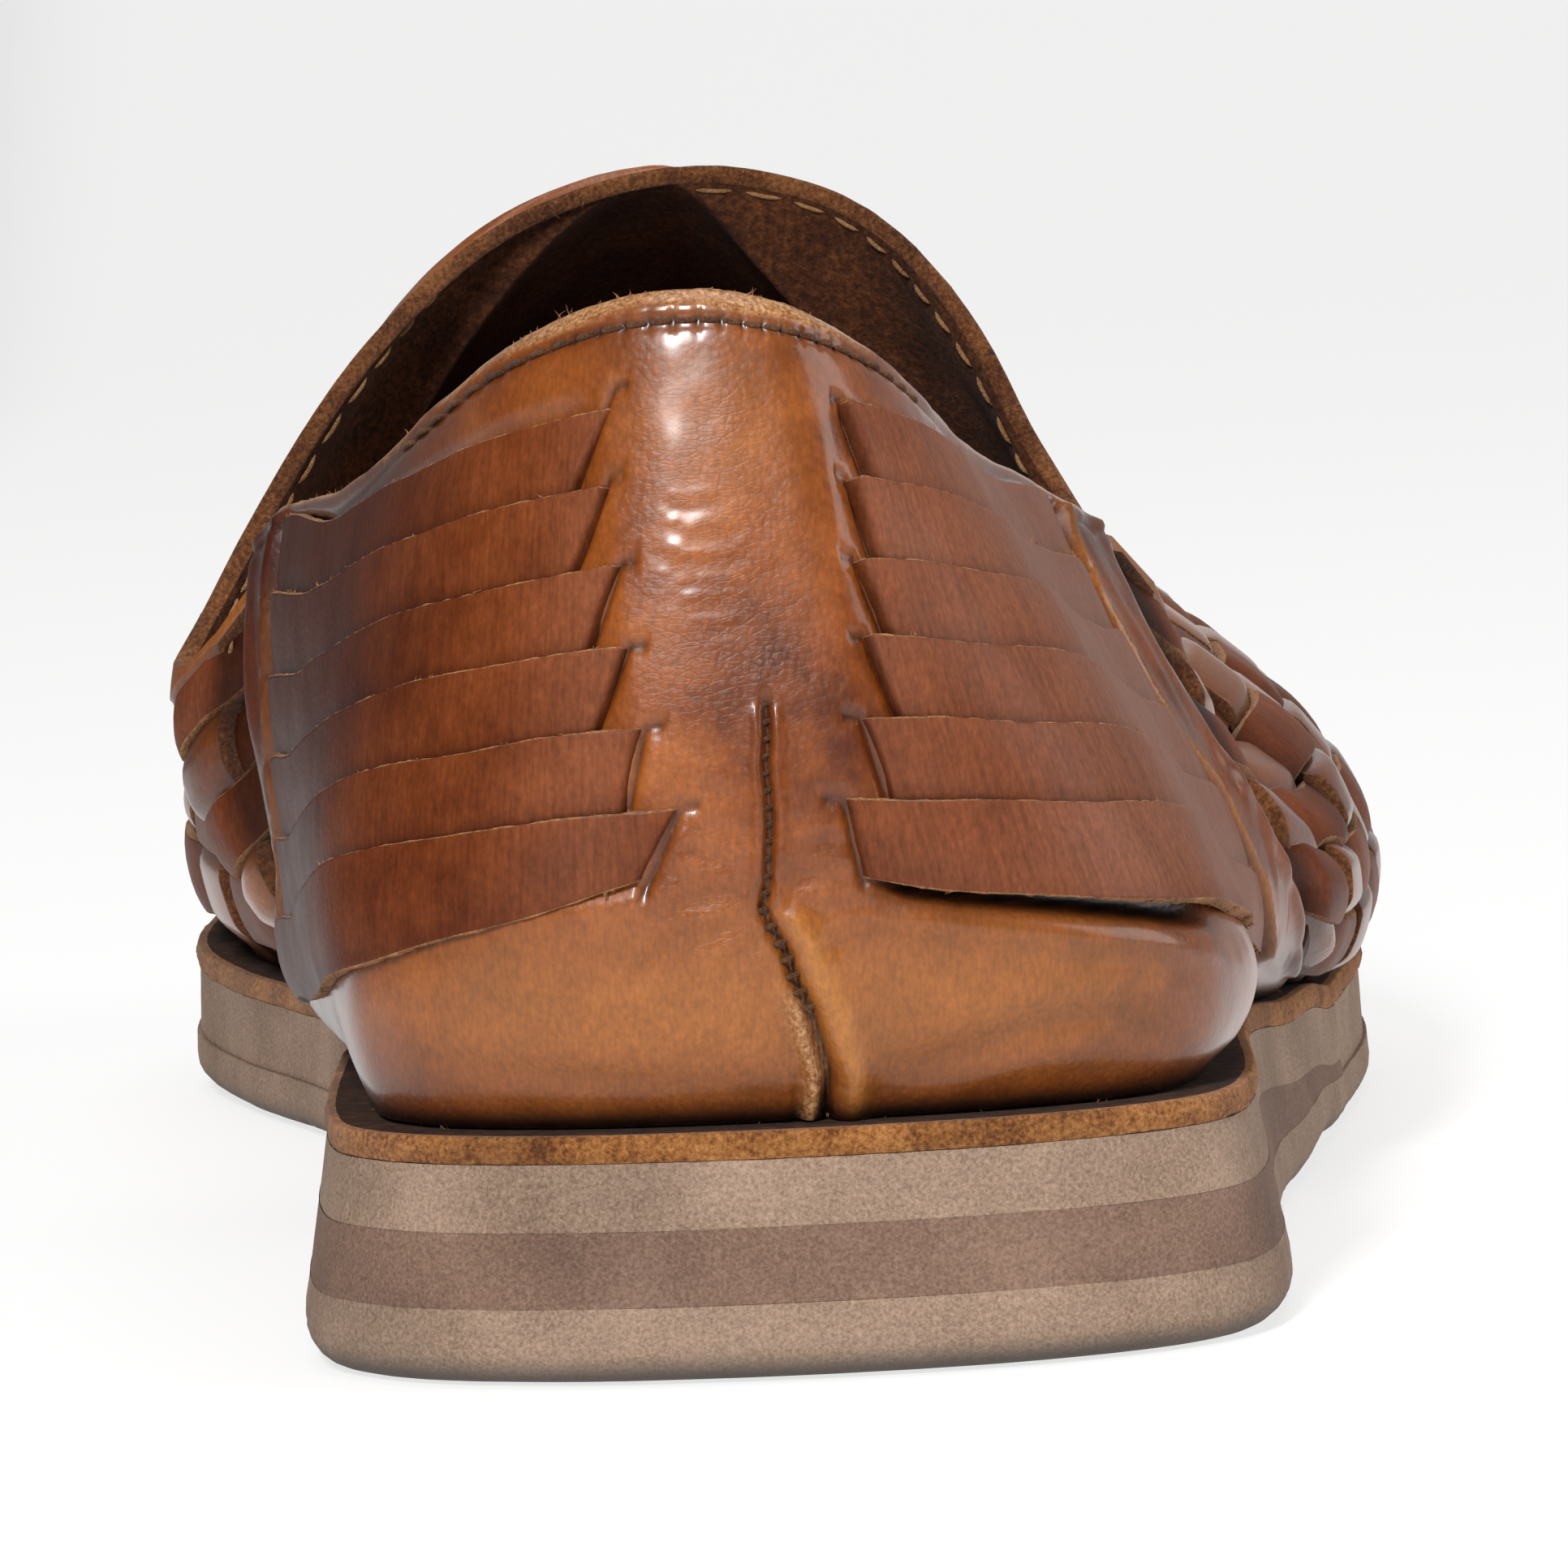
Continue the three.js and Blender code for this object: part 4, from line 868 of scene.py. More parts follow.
    # tone: darker towards the wings and the top, and darker on the inner side than the outer, which is
    # painted shade; rubbed lighter low on the heel
    burnish = np.where(turn > 0, 0.35, 0.75) * ease(18, 62, np.abs(around)) + 0.4 * ease(0, 6, 8 - up)
    burnish += 0.3 * ease(0, 3.5, fromTop) * (1 - ease(3.5, 9, fromTop)) + 0.15 * margin
    burnish += 0.3 * trough(around + 1, 9) * trough(up - 34, 7)
    # painted shade along the counter's foot, where it turns under above the board
    dark += 0.75 * (1 - ease(0.2, 1.9, up)) + 0.25 * (1 - ease(0, 4, up))
    holes = (turn - look["sewn"][0]) % (look["stitchPitch"] / halfWay) * halfWay
    holes = np.hypot(np.minimum(holes, look["stitchPitch"] - holes), fromTop - look["stitchIn"])
    sewn = ease(-0.16, -0.14, turn) * ease(0.12, 0.11, turn)
    # painted shade in the needle holes of the collar stitching
    dark += 0.95 * sewn * trough(holes, 0.42)
    lift -= 0.25 * sewn * trough(holes, 0.5)
    worn += 0.5 * trough(up - 9, 7) * (1 - ease(18, 44, np.abs(around)))
    worn += 0.25 * trough(up - 52, 8) * trough(around, 14)
    crackle = trough(around + 3, 11) * ease(26, 34, up) * (1 - ease(52, 56, up))
    crackle += 0.8 * trough(np.hypot(around + 3, up - 15), 8)
    marks = clipped(dark=dark, worn=worn, burnish=burnish, raw=raw, crackle=crackle)
    marks["lay"] = layWay(around, up, 0)
    outer, normal = skinAt(turn, girth, lift)
    outer[..., 2] += collarRise(turn, girth)
    return addSheet("heel_counter", outer, normal, flatQuads(turn.shape), look["thickness"],
                    [cognacLeather, cutLeather, fleshSide], marks, (0.55, 16))


# Side strips: each runs from its slit near the heel to its slot in the wing, lapped over the one above
sideStripLook = {
    "thickness": 1.1, "tuck": 0.55, "wave": 0.22, "lap": 0.9, "pastSlot": 0.007,
    "cut": {**cutEdge, "bulge": 0.12, "rough": 0.09, "roughSize": 0.8},
    # lower edge of the lowest strip on each side: turn, girth
    "lowest": {
        1: [(0.02, 0.302), (0.055, 0.275), (0.0875, 0.25), (0.11, 0.231), (0.17, 0.195), (0.2267, 0.163),
            (0.2883, 0.119), (0.34, 0.09)],
        -1: [(0.02, 0.318), (0.03, 0.312), (0.0567, 0.275), (0.08, 0.25), (0.1042, 0.219), (0.1708, 0.169),
             (0.25, 0.125), (0.34, 0.09)],
    },
}
across = np.array([0, 0.03, 0.09, 0.2, 0.35, 0.5, 0.65, 0.8, 0.91, 0.97, 1])


def sideName(sign):
    return "lateral" if sign > 0 else "medial"


def buildSideStrip(sign, hoop):
    look = sideStripLook
    foot, head = counterLook["slits"][sign][hoop]
    k = np.linspace(0, 1, 190)[:, None]
    w = across[None, :]
    start = foot + (head - foot) * w + 0.0012 * np.sin(w * 3.1) * (hoop % 2)
    slotAt = along(counterLook["slots"][sign], 1, (0.13 + 0.68 * (hoop + w) / shoe["hoopCount"]))
    turn = start + (slotAt + look["pastSlot"] - start) * k**1.08
    mmIn = (turn - start) * halfWay
    low, high = rowGirth(turn, 2 * hoop), rowGirth(turn, 2 * hoop + 2)
    if hoop == 0:
        low = along(look["lowest"][sign], 1, turn)
    length = sectionLength(sign * turn)
    seed = hoop + (10 if sign > 0 else 30)
    wave = look["wave"] * noiseAt(np.stack([turn * halfWay, w + 0 * turn, 0 * turn], -1), 8, seed)
    if hoop == shoe["hoopCount"] - 1:
        high = high - 0.2 / length
    girth = low + (high - low) * w + (wave - look["lap"] * (1 - w) * (hoop > 0)) / length
    grown = ease(2, 34, mmIn)
    topLift = 0.6 + 0.5 * grown if hoop == shoe["hoopCount"] - 1 else 1.05 + 0.6 * grown
    lowLift = 0.3 + 0.5 * grown
    base = lowLift + (topLift - lowLift) * w**1.3 + 0.2 * np.sin(np.pi * w)
    if hoop == 0:
        proud = ease(6, 12, turn * halfWay) * (1 - ease(36, 50, turn * halfWay)) * (sign > 0)
        base = base + (0.2 + 0.75 * proud) * (1 - w) ** 1.5
    dive = 1 - ease(0, look["tuck"], mmIn)
    lift = base * (1 - dive) - 0.9 * dive
    fromSlot = (turn - slotAt) * halfWay
    tucked = ease(-2.6, 0.5, fromSlot)
    lift = lift * (1 - 0.35 * ease(-9, -1, fromSlot))
    lift = lift * (1 - tucked) - 2.0 * tucked
    spot = onNet(net, sign * turn, girth)
    lift = lift + 0.1 * noiseAt(spot, 11, seed) + 0.03 * noiseAt(spot, 2.5, seed + 1)
    mmWay = turn * halfWay
    # burnished darker away from the heel, the inner side's straps far more than the outer's, and darker along
    # each strap's lower edge: the side difference and the edge are painted shade
    burnish = (0.1 if sign > 0 else 0.75) * ease(16, 60, mmWay + 6 * noiseAt(spot, 14, seed))
    burnish = 0.15 + burnish + 0.25 * trough(w - 0.04, 0.14)
    # painted shade: where the strap dives into its slit, where it goes into its slot, and along its lower
    # edge under the lap of the strap below
    aboveLap = (girth - rowGirth(turn, 2 * hoop)) * length
    underLap = trough(aboveLap + 0.55, 0.75) * (hoop > 0)
    dark = 0.6 * dive + 0.9 * ease(-3.4, -0.6, fromSlot) + 0.85 * underLap
    # painted sheen: lighter a little way from the slits on both sides, and a greyish mauve over the outer
    # side's straps that grows away from the heel
    paintedSheen = 0.3 * trough(mmWay - 14, 7)
    if sign > 0:
        paintedSheen = paintedSheen + 0.75 * ease(8, 44, mmWay + 9 * noiseAt(spot, 12, seed + 3))
    marks = clipped(dark=dark, worn=paintedSheen * (1 - dive), burnish=burnish, crackle=0.15 + 0 * turn)
    marks["lay"] = layWay(mmWay, w * 8, seed)
    if sign < 0:
        turn, girth, lift = -turn[::-1], girth[::-1], lift[::-1]
        marks = {name: values[::-1] for name, values in marks.items()}
    outer, normal = skinAt(turn, girth, lift)
    return addSheet(f"side_strap_{sideName(sign)}_{hoop + 1}", outer, normal, flatQuads(turn.shape),
                    look["thickness"], [stripLeather, cutLeather, fleshSide], marks, (0.3, 9), look["cut"])


# Weave of the forefoot: six long hoops under and over the fringe of the plug
weaveLook = {
    "over": 1.75, "under": 0.05, "hidden": -1.9, "tucked": -2.0, "thickness": 1.6,  # mm over the net
    "hoopWidth": 0.86, "ribWidth": 0.7, "hoopStart": 0.285, "plugStart": 0.295,
    "fringeRows": 74, "plugRows": 46,
}


def ribCentre(rib):
    return shoe["bandFront"] + (rib + 1) * ribPitch - ribWidth / 2


def ribOver(rib, hoop):
    return (rib + hoop) % 2 == 0


# Height of a strip's face where it crosses others: spots are (place, height), with smooth slopes between them
def weaveLift(x, spots, hold):
    places = np.array([place for place, _ in spots])
    levels = np.array([height for _, height in spots])
    k = np.clip(np.searchsorted(places, x) - 1, 0, len(places) - 2)
    a, b = places[k] + hold, places[k + 1] - hold
    s = np.clip((x - a) / np.maximum(b - a, 1e-9), 0, 1)
    s = s * s * (3 - 2 * s)
    return levels[k] * (1 - s) + levels[k + 1] * s


def buildHoop(hoop):
    look = weaveLook
    level = {True: look["over"], False: look["under"]}
    start = look["hoopStart"]
    way = np.linspace(start, 2 - start, 460)[:, None]
    w = across[None, :]
    turn = np.where(way > 1, way - 2, way) + 0 * w
    fromHeel = np.minimum(way, 2 - way)
    low, high = rowGirth(fromHeel, 2 * hoop), rowGirth(fromHeel, 2 * hoop + 1)
    middle, half = (low + high) / 2, (high - low) / 2 * look["hoopWidth"] / shoe["hoopShare"]
    seed = 60 + hoop
    line = np.concatenate([way * halfWay, 0 * way, 0 * way], -1)[:, None, :]
    sway = 0.25 * noiseAt(line, 16, seed)
    girth = middle + half * (2 * w - 1) + sway / sectionLength(turn)
    share = (low[0, 0] + high[0, 0]) / 2
    tucked = {sign: float(along(counterLook["front"][sign], 1, share)) for sign in (1, -1)}
    crossings = [(ribCentre(rib), level[not ribOver(rib, hoop)]) for rib in range(shoe["ribCount"])]
    spots = [(start - 0.01, look["hidden"]), (tucked[1] - 0.003, look["hidden"])] + crossings
    spots.append((1.0, level[not ribOver(shoe["ribCount"], hoop)]))
    spots += [(2 - place, height) for place, height in reversed(crossings)]
    spots += [(2 - tucked[-1] + 0.003, look["hidden"]), (2 - start + 0.01, look["hidden"])]
    lift = weaveLift(way, spots, ribWidth * 0.3) + 0 * w
    lift = lift - 0.3 * np.abs(2 * w - 1) ** 3
    spot = onNet(net, turn, girth)
    lift = lift + 0.12 * noiseAt(spot, 9, seed) + 0.04 * noiseAt(spot, 2.5, seed + 1)
    height = ease(look["under"], look["over"], lift)
    # painted shade where the hoop dips under the ribs
    marks = clipped(dark=0.75 * (1 - height), worn=0.3 * height * (0.5 + noiseAt(spot, 13, seed)),
                    burnish=0.45 + 0.5 * noiseAt(spot, 15, seed + 2), crackle=0.25 + 0 * turn)
    marks["lay"] = layWay(way * halfWay, w * 7, seed)
    outer, normal = skinAt(turn, girth, lift)
    return addSheet(f"long_strap_{hoop + 1}", outer, normal, flatQuads(turn.shape), look["thickness"],
                    [stripLeather, cutLeather, fleshSide], marks, (0.3, 5))


# Plug: the vamp's top piece, its lower edge cut into the short straps that go down through the hoops
def buildPlug():
    look = weaveLook
    ribShape = np.array([0, 0.03, 0.1, 0.25, 0.5, 0.75, 0.9, 0.97, 1])
    half = ribWidth / 2 * look["ribWidth"] / shoe["ribShare"]
    centres = np.array([ribCentre(rib) for rib in range(shoe["ribCount"])] + [1.0])
    stops = [look["plugStart"]]
    for centre in centres:
        stops += list(np.linspace(stops[-1], centre - half, 5)[1:-1])
        stops += list(centre - half + 2 * half * ribShape)
    # closer columns where the throat's edge reaches the crest
    seamAt = math.ceil(throatAt * turnSteps) / turnSteps
    stops += list(seamAt - np.array([0.03, 0.024, 0.019, 0.015, 0.011, 0.008, 0.005, 0.0025, 0.001, 0]))
    columns = np.unique(np.round([stop for stop in stops if stop <= 1], 6))
    ribNumber = np.abs(columns[:, None] - centres[None, :]).argmin(1)
    acrossRib = (columns - centres[ribNumber]) / (2 * half) + 0.5
    inRib = (acrossRib > -1e-4) & (acrossRib < 1 + 1e-4)
    acrossRib = np.clip(acrossRib, 0, 1)
    edge = (rowGirth(columns, 2 * shoe["hoopCount"] - 1) + 0.012)[:, None]
    plugShares = 1 + np.linspace(0, 1, look["plugRows"] + 1)[1:]
    rows = np.concatenate([np.linspace(0, 1, look["fringeRows"]), plugShares])[None, :]
    girth = np.where(rows <= 1, rows * edge, edge + (rows - 1) * (1 - edge))
    turn = columns[:, None] + 0 * rows
    fringe = rows <= 1
    lift = np.full(turn.shape, look["over"])
    for k, column in enumerate(columns):
        rib = ribNumber[k]
        spots = [(-0.02, look["under"])]
        for hoop in range(shoe["hoopCount"]):
            low, high = rowGirth(column, 2 * hoop), rowGirth(column, 2 * hoop + 1)
            spots.append(((low + high) / 2, look["over"] if ribOver(rib, hoop) else look["under"]))
        spots.append((float(edge[k, 0]) + 0.02, look["over"]))
        lift[k] = weaveLift(girth[k], spots, 0.022)
    rounded = -0.3 * np.abs(2 * acrossRib[:, None] - 1) ** 3
    lift = lift + np.where(fringe, rounded, rounded * (1 - ease(1, 1.12, rows)))
    faces = (inRib[:-1] & inRib[1:] & (ribNumber[:-1] == ribNumber[1:]))[:, None] | ~fringe[:, 1:]
    halves = []
    for sign in (1, -1):
        t, l = sign * turn, lift.copy()
        spot = onNet(net, t, girth)
        l += 0.25 * noiseAt(spot, 22, 80) + 0.08 * noiseAt(spot, 6, 81)
        fromWing = (turn - sideLine("front", t, girth)) * halfWay
        l = look["tucked"] + (l - look["tucked"]) * ease(-0.8, 9, fromWing)
        # painted shade on the fringe where it dips under the hoops
        marks = clipped(dark=0.7 * (1 - ease(look["under"], look["over"], l)) * fringe,
                        worn=0.3 - 0.2 * fringe + 0.4 * noiseAt(spot, 20, 82),
                        burnish=0.25 + 0.3 * fringe + 0.5 * noiseAt(spot, 17, 83), crackle=0.35 + 0 * t)
        marks["lay"] = layWay(girth * sectionLength(t), acrossRib[:, None] * 6, ribNumber[:, None] + 90)
        halves.append({"turn": t, "girth": girth, "lift": l, **marks})
    # the second half runs back from the toe, whose column it shares with the first
    whole = {name: np.concatenate([halves[0][name], halves[1][name][-2::-1]]) for name in halves[0]}
    outer, normal = skinAt(whole.pop("turn"), whole.pop("girth"), whole.pop("lift"))
    # past the throat the two halves share the crest's points
    shape = outer.shape[:2]
    index = np.arange(shape[0] * shape[1]).reshape(shape)
    for k in range(len(columns)):
        other = shape[0] - 1 - k
        if columns[k] >= seamAt - 1e-5 and other > k:
            outer[k, -1] = (outer[k, -1] + outer[other, -1]) / 2
            index[other, -1] = index[k, -1]
    quads = gridQuads(index)[np.concatenate([faces, faces[::-1]])]
    return addSheet("vamp_plug", outer, normal, quads, look["thickness"],
                    [cognacLeather, dyedEdge, fleshSide], whole, (0.35, 8))


builtPieces = [buildCounter()]
print("counter made")
builtPieces += [buildHoop(hoop) for hoop in range(shoe["hoopCount"])]
builtPieces.append(buildPlug())
for piece in builtPieces:
    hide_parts("upper")
for sign in (1, -1):
    for hoop in range(shoe["hoopCount"]):
        strap = buildSideStrip(sign, hoop)
        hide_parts(f"side_strip_{sideName(sign)}_{hoop + 1}")
        builtPieces.append(strap)
print("straps made")


# Sole: layers with their own edge shapes, each a ring of side rows with a ruled face above and below
def ringTurns(count):
    return np.concatenate([np.linspace(0, 1, count + 1), np.linspace(-1, 0, count + 1)[1:-1]])


def treadCut(y):
    cut = np.zeros(np.shape(y))
    starts = list(np.arange(1.5 * shoe["treadPitch"], shoe["archFrom"], shoe["treadPitch"]))
    starts += list(np.arange(shoe["archTo"] + shoe["treadPitch"], shoe["springFrom"], shoe["treadPitch"]))
    halfWidth = shoe["treadWidth"] / 2
    for start in starts:
        groove = 1 - ease(halfWidth - 0.4, halfWidth + 0.4, np.abs(y - start))
        cut = np.maximum(cut, shoe["treadDepth"] * groove)
    return cut


soleHeight = shoe["outsoleHeel"] + shoe["wedgeHeel"] + shoe["foamThickness"] + 2 * shoe["seatGap"]


def sideOut(height, turn):
    flare = shoe["heelFlare"] + (shoe["foreFlare"] - shoe["heelFlare"]) * ease(0.2, 0.5, np.abs(turn))
    under = np.clip(1 - height / shoe["edgeRound"], 0, 1)
    return flare * (1 - height / soleHeight) - shoe["edgeRound"] * (1 - np.sqrt(1 - under**2))


layerLook = {"steps": 300, "across": 10}


# A layer's rows, from below up: how far out at a turn, how high at a y, how dented in mm.
# Rows from topFrom on show the second material.
def buildLayer(name, rows, materials, marksOf, topFrom=None, roughSize=3.0):
    topFrom = topFrom or len(rows)
    steps = layerLook["steps"]
    turn = ringTurns(steps)
    ring = len(turn)
    points = []
    for out, height, dent in rows:
        ground, normal = outlinePoint(turn, out(turn))
        spot = np.concatenate([ground, height(ground[:, 1])[:, None]], 1)
        push = noiseAt(spot, roughSize, 7) + 0.5 * noiseAt(spot, roughSize / 3, 8) + 2 * noiseAt(spot, 24, 9)
        spot[:, :2] += normal * dent * push[:, None]
        points.append(spot)
    count = len(rows)
    quads, slots = [], []
    index = np.arange(ring)
    for r in range(count - 1):
        a, b = r * ring + index, r * ring + (index + 1) % ring
        quads.append(np.stack([a, b, b + ring, a + ring], -1))
        slots += [int(r >= topFrom)] * ring
    total = count * ring
    pieces = [np.concatenate(points)]
    for top in (False, True):
        row = (count - 1 if top else 0) * ring
        lateral = row + np.arange(0, steps + 1)
        medial = row + np.concatenate([[0], ring - np.arange(1, steps), [steps]])
        lines = [lateral]
        edgeA, edgeB = pieces[0][lateral], pieces[0][medial]
        height = rows[-1 if top else 0][1]
        for k in range(1, layerLook["across"]):
            s = k / layerLook["across"]
            line = edgeA * (1 - s) + edgeB * s
            line[:, 2] = height(line[:, 1])
            lines.append(total + np.arange(steps + 1))
            pieces.append(line)
            total += steps + 1
        lines.append(medial)
        for a, b in zip(lines[:-1], lines[1:]):
            face = np.stack([a[:-1], a[1:], b[1:], b[:-1]], -1)
            quads.append(face if top else face[:, ::-1])
            slots += [int(top and topFrom < count)] * steps
    points = np.concatenate(pieces)
    return makeObject(name, points, np.concatenate(quads), materials, slots, marksOf(points))


# one row, its numbers bound here: out at a level of the sole's side, less an inset
def sideRow(level, inset, height, dent=0.0):
    return (lambda t: sideOut(level, t) - inset, height, dent)


def insetRow(out, inset, height, dent=0.0):
    return (lambda t: out(t) - inset, height, dent)


def between(lowHeight, highHeight, s):
    return lambda y: lowHeight(y) * (1 - s) + highHeight(y) * s


def raised(height, more):
    return lambda y: height(y) + more


def sideRows(low, high, lowHeight, highHeight, steps, dent, soft):
    # the rows next to the borders keep the layer's face flat right up to its corners
    shares = (0, 0.015, *np.linspace(0, 1, steps + 1)[1:-1], 0.985, 1)
    insets = (soft * 0.3, 1.2, 6)
    inner = [sideRow(low, inset, lowHeight) for inset in reversed(insets)]
    edge = [sideRow(low + (high - low) * s, 0, between(lowHeight, highHeight, s), dent) for s in shares]
    return inner + edge + [sideRow(high, inset, highHeight) for inset in insets]


def treadFoot(y):
    return soleFoot(y) + treadCut(y)


def outsoleLevel(level):
    def height(y):
        share = level / shoe["outsoleHeel"]
        raisedBy = np.maximum(share * (outsoleTop(y) - soleFoot(y)), treadCut(y))
        return np.minimum(soleFoot(y) + raisedBy, outsoleTop(y))
    return height


def outsoleMarks(p):
    # darker towards the outsole's bottom edge
    soiled = 0.9 * (1 - ease(0.2, 2.6, p[:, 2] - soleFoot(p[:, 1])))
    return clipped(dark=soiled + 0.15 * noiseAt(p, 9, 21))


def buildOutsole():
    levels = (0.12, 0.4, 0.8, 1.4, 2.2, 3.2, 4.2, 5.0, 5.5, 5.58)
    rows = [sideRow(0, inset, treadFoot) for inset in (7, 2, 0.2)]
    rows += [sideRow(level, 0, outsoleLevel(level), 0.06) for level in levels]
    rows += [sideRow(shoe["outsoleHeel"], inset, outsoleTop) for inset in (0.05, 2, 7)]
    return buildLayer("foam_outsole", rows, [taupeFoam], outsoleMarks)


wedgeRow = shoe["outsoleHeel"] + shoe["seatGap"]
foamRow = wedgeRow + shoe["wedgeHeel"] + shoe["seatGap"]


# Keeps the part of a layer behind y and closes its cut end
def keepRear(piece, y):
    bm = bmesh.new()
    bm.from_mesh(piece.data)
    spot = Vector(toRow([0, y, 0]))
    result = bmesh.ops.bisect_plane(bm, geom=bm.verts[:] + bm.edges[:] + bm.faces[:], plane_co=spot,
                                    plane_no=(0, 1, 0), clear_outer=True)
    edges = [e for e in result["geom_cut"] if isinstance(e, bmesh.types.BMEdge)]
    bmesh.ops.holes_fill(bm, edges=edges)
    bm.to_mesh(piece.data)
    bm.free()
    return piece


def foamMarks(p):
    return clipped(dark=0.12 * noiseAt(p, 12, 22))


def midsoleFoot(y):
    return np.where(y < shoe["wedgeEnd"] + 1, wedgeTop(y) + 0.1, outsoleTop(y))


def foamLayer(name, low, high, lowHeight, highHeight, foam):
    return buildLayer(name, sideRows(low, high, lowHeight, highHeight, 6, 0.03, 0.02), [foam], foamMarks)


outsole = buildOutsole()
wedge = foamLayer("foam_heel_wedge", wedgeRow, foamRow - 0.1, outsoleTop, raised(wedgeTop, 0.1), brownFoam)
keepRear(wedge, shoe["wedgeEnd"])
midsole = foamLayer("foam_midsole", foamRow, foamRow + shoe["foamThickness"], midsoleFoot,
                    raised(foamTop, 0.02), taupeFoam)


def atOutline(turn):
    return 0 * turn


def boardMarks(p):
    flat = 0 * p[:, 0]
    return {**clipped(dark=0.15 + 0.3 * noiseAt(p, 7, 23)), "burnish": 0.5 + flat, "worn": 0.2 + flat,
            "crackle": 0.2 + flat, "lay": p}


def buildBoard():
    rows = [insetRow(atOutline, inset, raised(foamTop, 0.05)) for inset in (8, 0.3)]
    for s in (0.02, 0.05, 0.25, 0.5, 0.75, 0.95, 0.98):
        height = raised(foamTop, 0.02 + s * (shoe["boardThickness"] + 0.23))
        rows.append(insetRow(atOutline, -0.25 * np.sin(np.pi * s), height, 0.12))
    rows += [insetRow(atOutline, inset, boardTop, 0.05) for inset in (0.15, 0.7, 1.6, 2.6, 3.8, 5.5, 8)]
    return buildLayer("board_leather", rows, [boardEdge, boardTopSide], boardMarks, topFrom=10, roughSize=1.1)


def insoleOut(turn):
    return -along(insetRows, 1, np.abs(turn)) - shoe["wall"] - 2 * shoe["seatGap"]


def insoleMarks(p):
    trodden = trough(np.hypot(p[:, 0], p[:, 1] - 32), 22)
    return clipped(dark=0.35 * noiseAt(p, 25, 24) + 0.5 * trodden)


def buildInsole():
    thick = shoe["insoleThickness"]
    rows = [insetRow(insoleOut, inset, seatHeight) for inset in (6, 0)]
    rows += [insetRow(insoleOut, 0, raised(seatHeight, s * thick), 0.05) for s in (0.3, 0.7, 0.95)]
    for inset in (0.4, 2, 5, 9):
        rows.append(insetRow(insoleOut, inset, raised(seatHeight, thick - 0.25 * (inset > 3))))
    return buildLayer("sock_leather_insole", rows, [sockLeather], insoleMarks)


soleParts = [
    (outsole, "outsole", "taupe_foam"), (wedge, "heel_wedge", "brown_foam"),
    (midsole, "midsole", "taupe_foam"), (buildBoard(), "leather_board", "raw_edge_leather"),
    (buildInsole(), "insole", "sock_leather"),
]
for piece, node, slot in soleParts:
    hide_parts(node)
    builtPieces.append(piece)
print("sole made")

for piece in builtPieces:
    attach(piece, "root")


# Sewing and loose fibres, each one joined mesh
def tubes(name, paths, radius, material, sides=6):
    points, quads = [], []
    total = 0
    for path in paths:
        path = np.asarray(path, float)
        way = unit(np.gradient(path, axis=0))
        crosswise = unit(np.cross(way, [0.31, 0.27, 0.91]))
        second = np.cross(way, crosswise)
        share = np.linspace(-1, 1, len(path))
        thick = radius * np.sqrt(np.clip(1.04 - share**4, 0.02, 1))
        angle = np.linspace(0, 2 * np.pi, sides, endpoint=False)
        angle = angle[None, :, None]
        ring = crosswise[:, None] * np.cos(angle) + second[:, None] * np.sin(angle)
        points.append((path[:, None] + ring * thick[:, None, None]).reshape(-1, 3))
        index = np.arange(len(path) * sides).reshape(len(path), sides) + total
        turned = np.roll(index, -1, 1)
        quads.append(np.stack([index[:-1], turned[:-1], turned[1:], index[1:]], -1).reshape(-1, 4))
        for row, flip in ((index[0], True), (index[-1], False)):
            cap = np.array([[row[0], row[1], row[2], row[3]], [row[0], row[3], row[4], row[5]]])
            quads.append(cap[:, ::-1] if flip else cap)
        total += len(path) * sides
    return makeObject(name, np.concatenate(points), np.concatenate(quads), [material])


def collarStitches():
    look = counterLook
    paths = []
    pitch = look["stitchPitch"] / halfWay
    for start in np.arange(*look["sewn"], pitch):
        share = np.linspace(0.04, 0.96, 7)
        turn = start + pitch * share
        girth = 1 - look["stitchIn"] / sectionLength(turn)
        lift = -0.75 + 0.62 * np.sin(np.pi * np.linspace(0, 1, 7)) ** 0.5
        line, _ = skinAt(turn, girth, lift)
        line[:, 2] += collarRise(turn, girth)
        paths.append(line)
    return tubes("collar_stitches", paths, 0.24, threadBrown)


# The heel seam is whipped shut: short threads cross it, closest above
def seamStitches():
    look = counterLook
    seam = np.array(look["seam"])
    paths = []
    for up in np.arange(look["whipFrom"], look["whipTo"], -look["whipPitch"]):
        sway = 0.3 * float(noiseAt([0, up, 0], 2.3, 14)) * float(ease(31, 27, up))
        over = np.linspace(-0.75, 0.75, 6)
        turn = (np.interp(-up, -seam[:, 1], seam[:, 0]) - sway + over) / halfWay
        girth = (up + 0.35 * over) / sectionLength(turn)
        paths.append(skinAt(turn, girth, -0.32 + 0.3 * np.cos(over * 1.9))[0])
    return tubes("seam_stitches", paths, 0.2, threadBrown)


def throatStitches():
    paths = []
    pitch = 3.1 / 1.6 / halfWay
    for sign in (1, -1):
        for start in np.arange(shoe["bandFront"] + 0.012, throatAt - 0.004, pitch):
            turn = sign * (start + 0.0042 * np.linspace(0, 1, 6))
            girth = 1 - 2.0 / sectionLength(turn)
            sag = 0.1 + 0.15 * np.sin(np.pi * np.linspace(0, 1, 6))
            lift = weaveLook["over"] - weaveLook["thickness"] - sag
            paths.append(skinAt(turn, girth, lift)[0])
    return tubes("throat_stitches", paths, 0.2, threadTan)


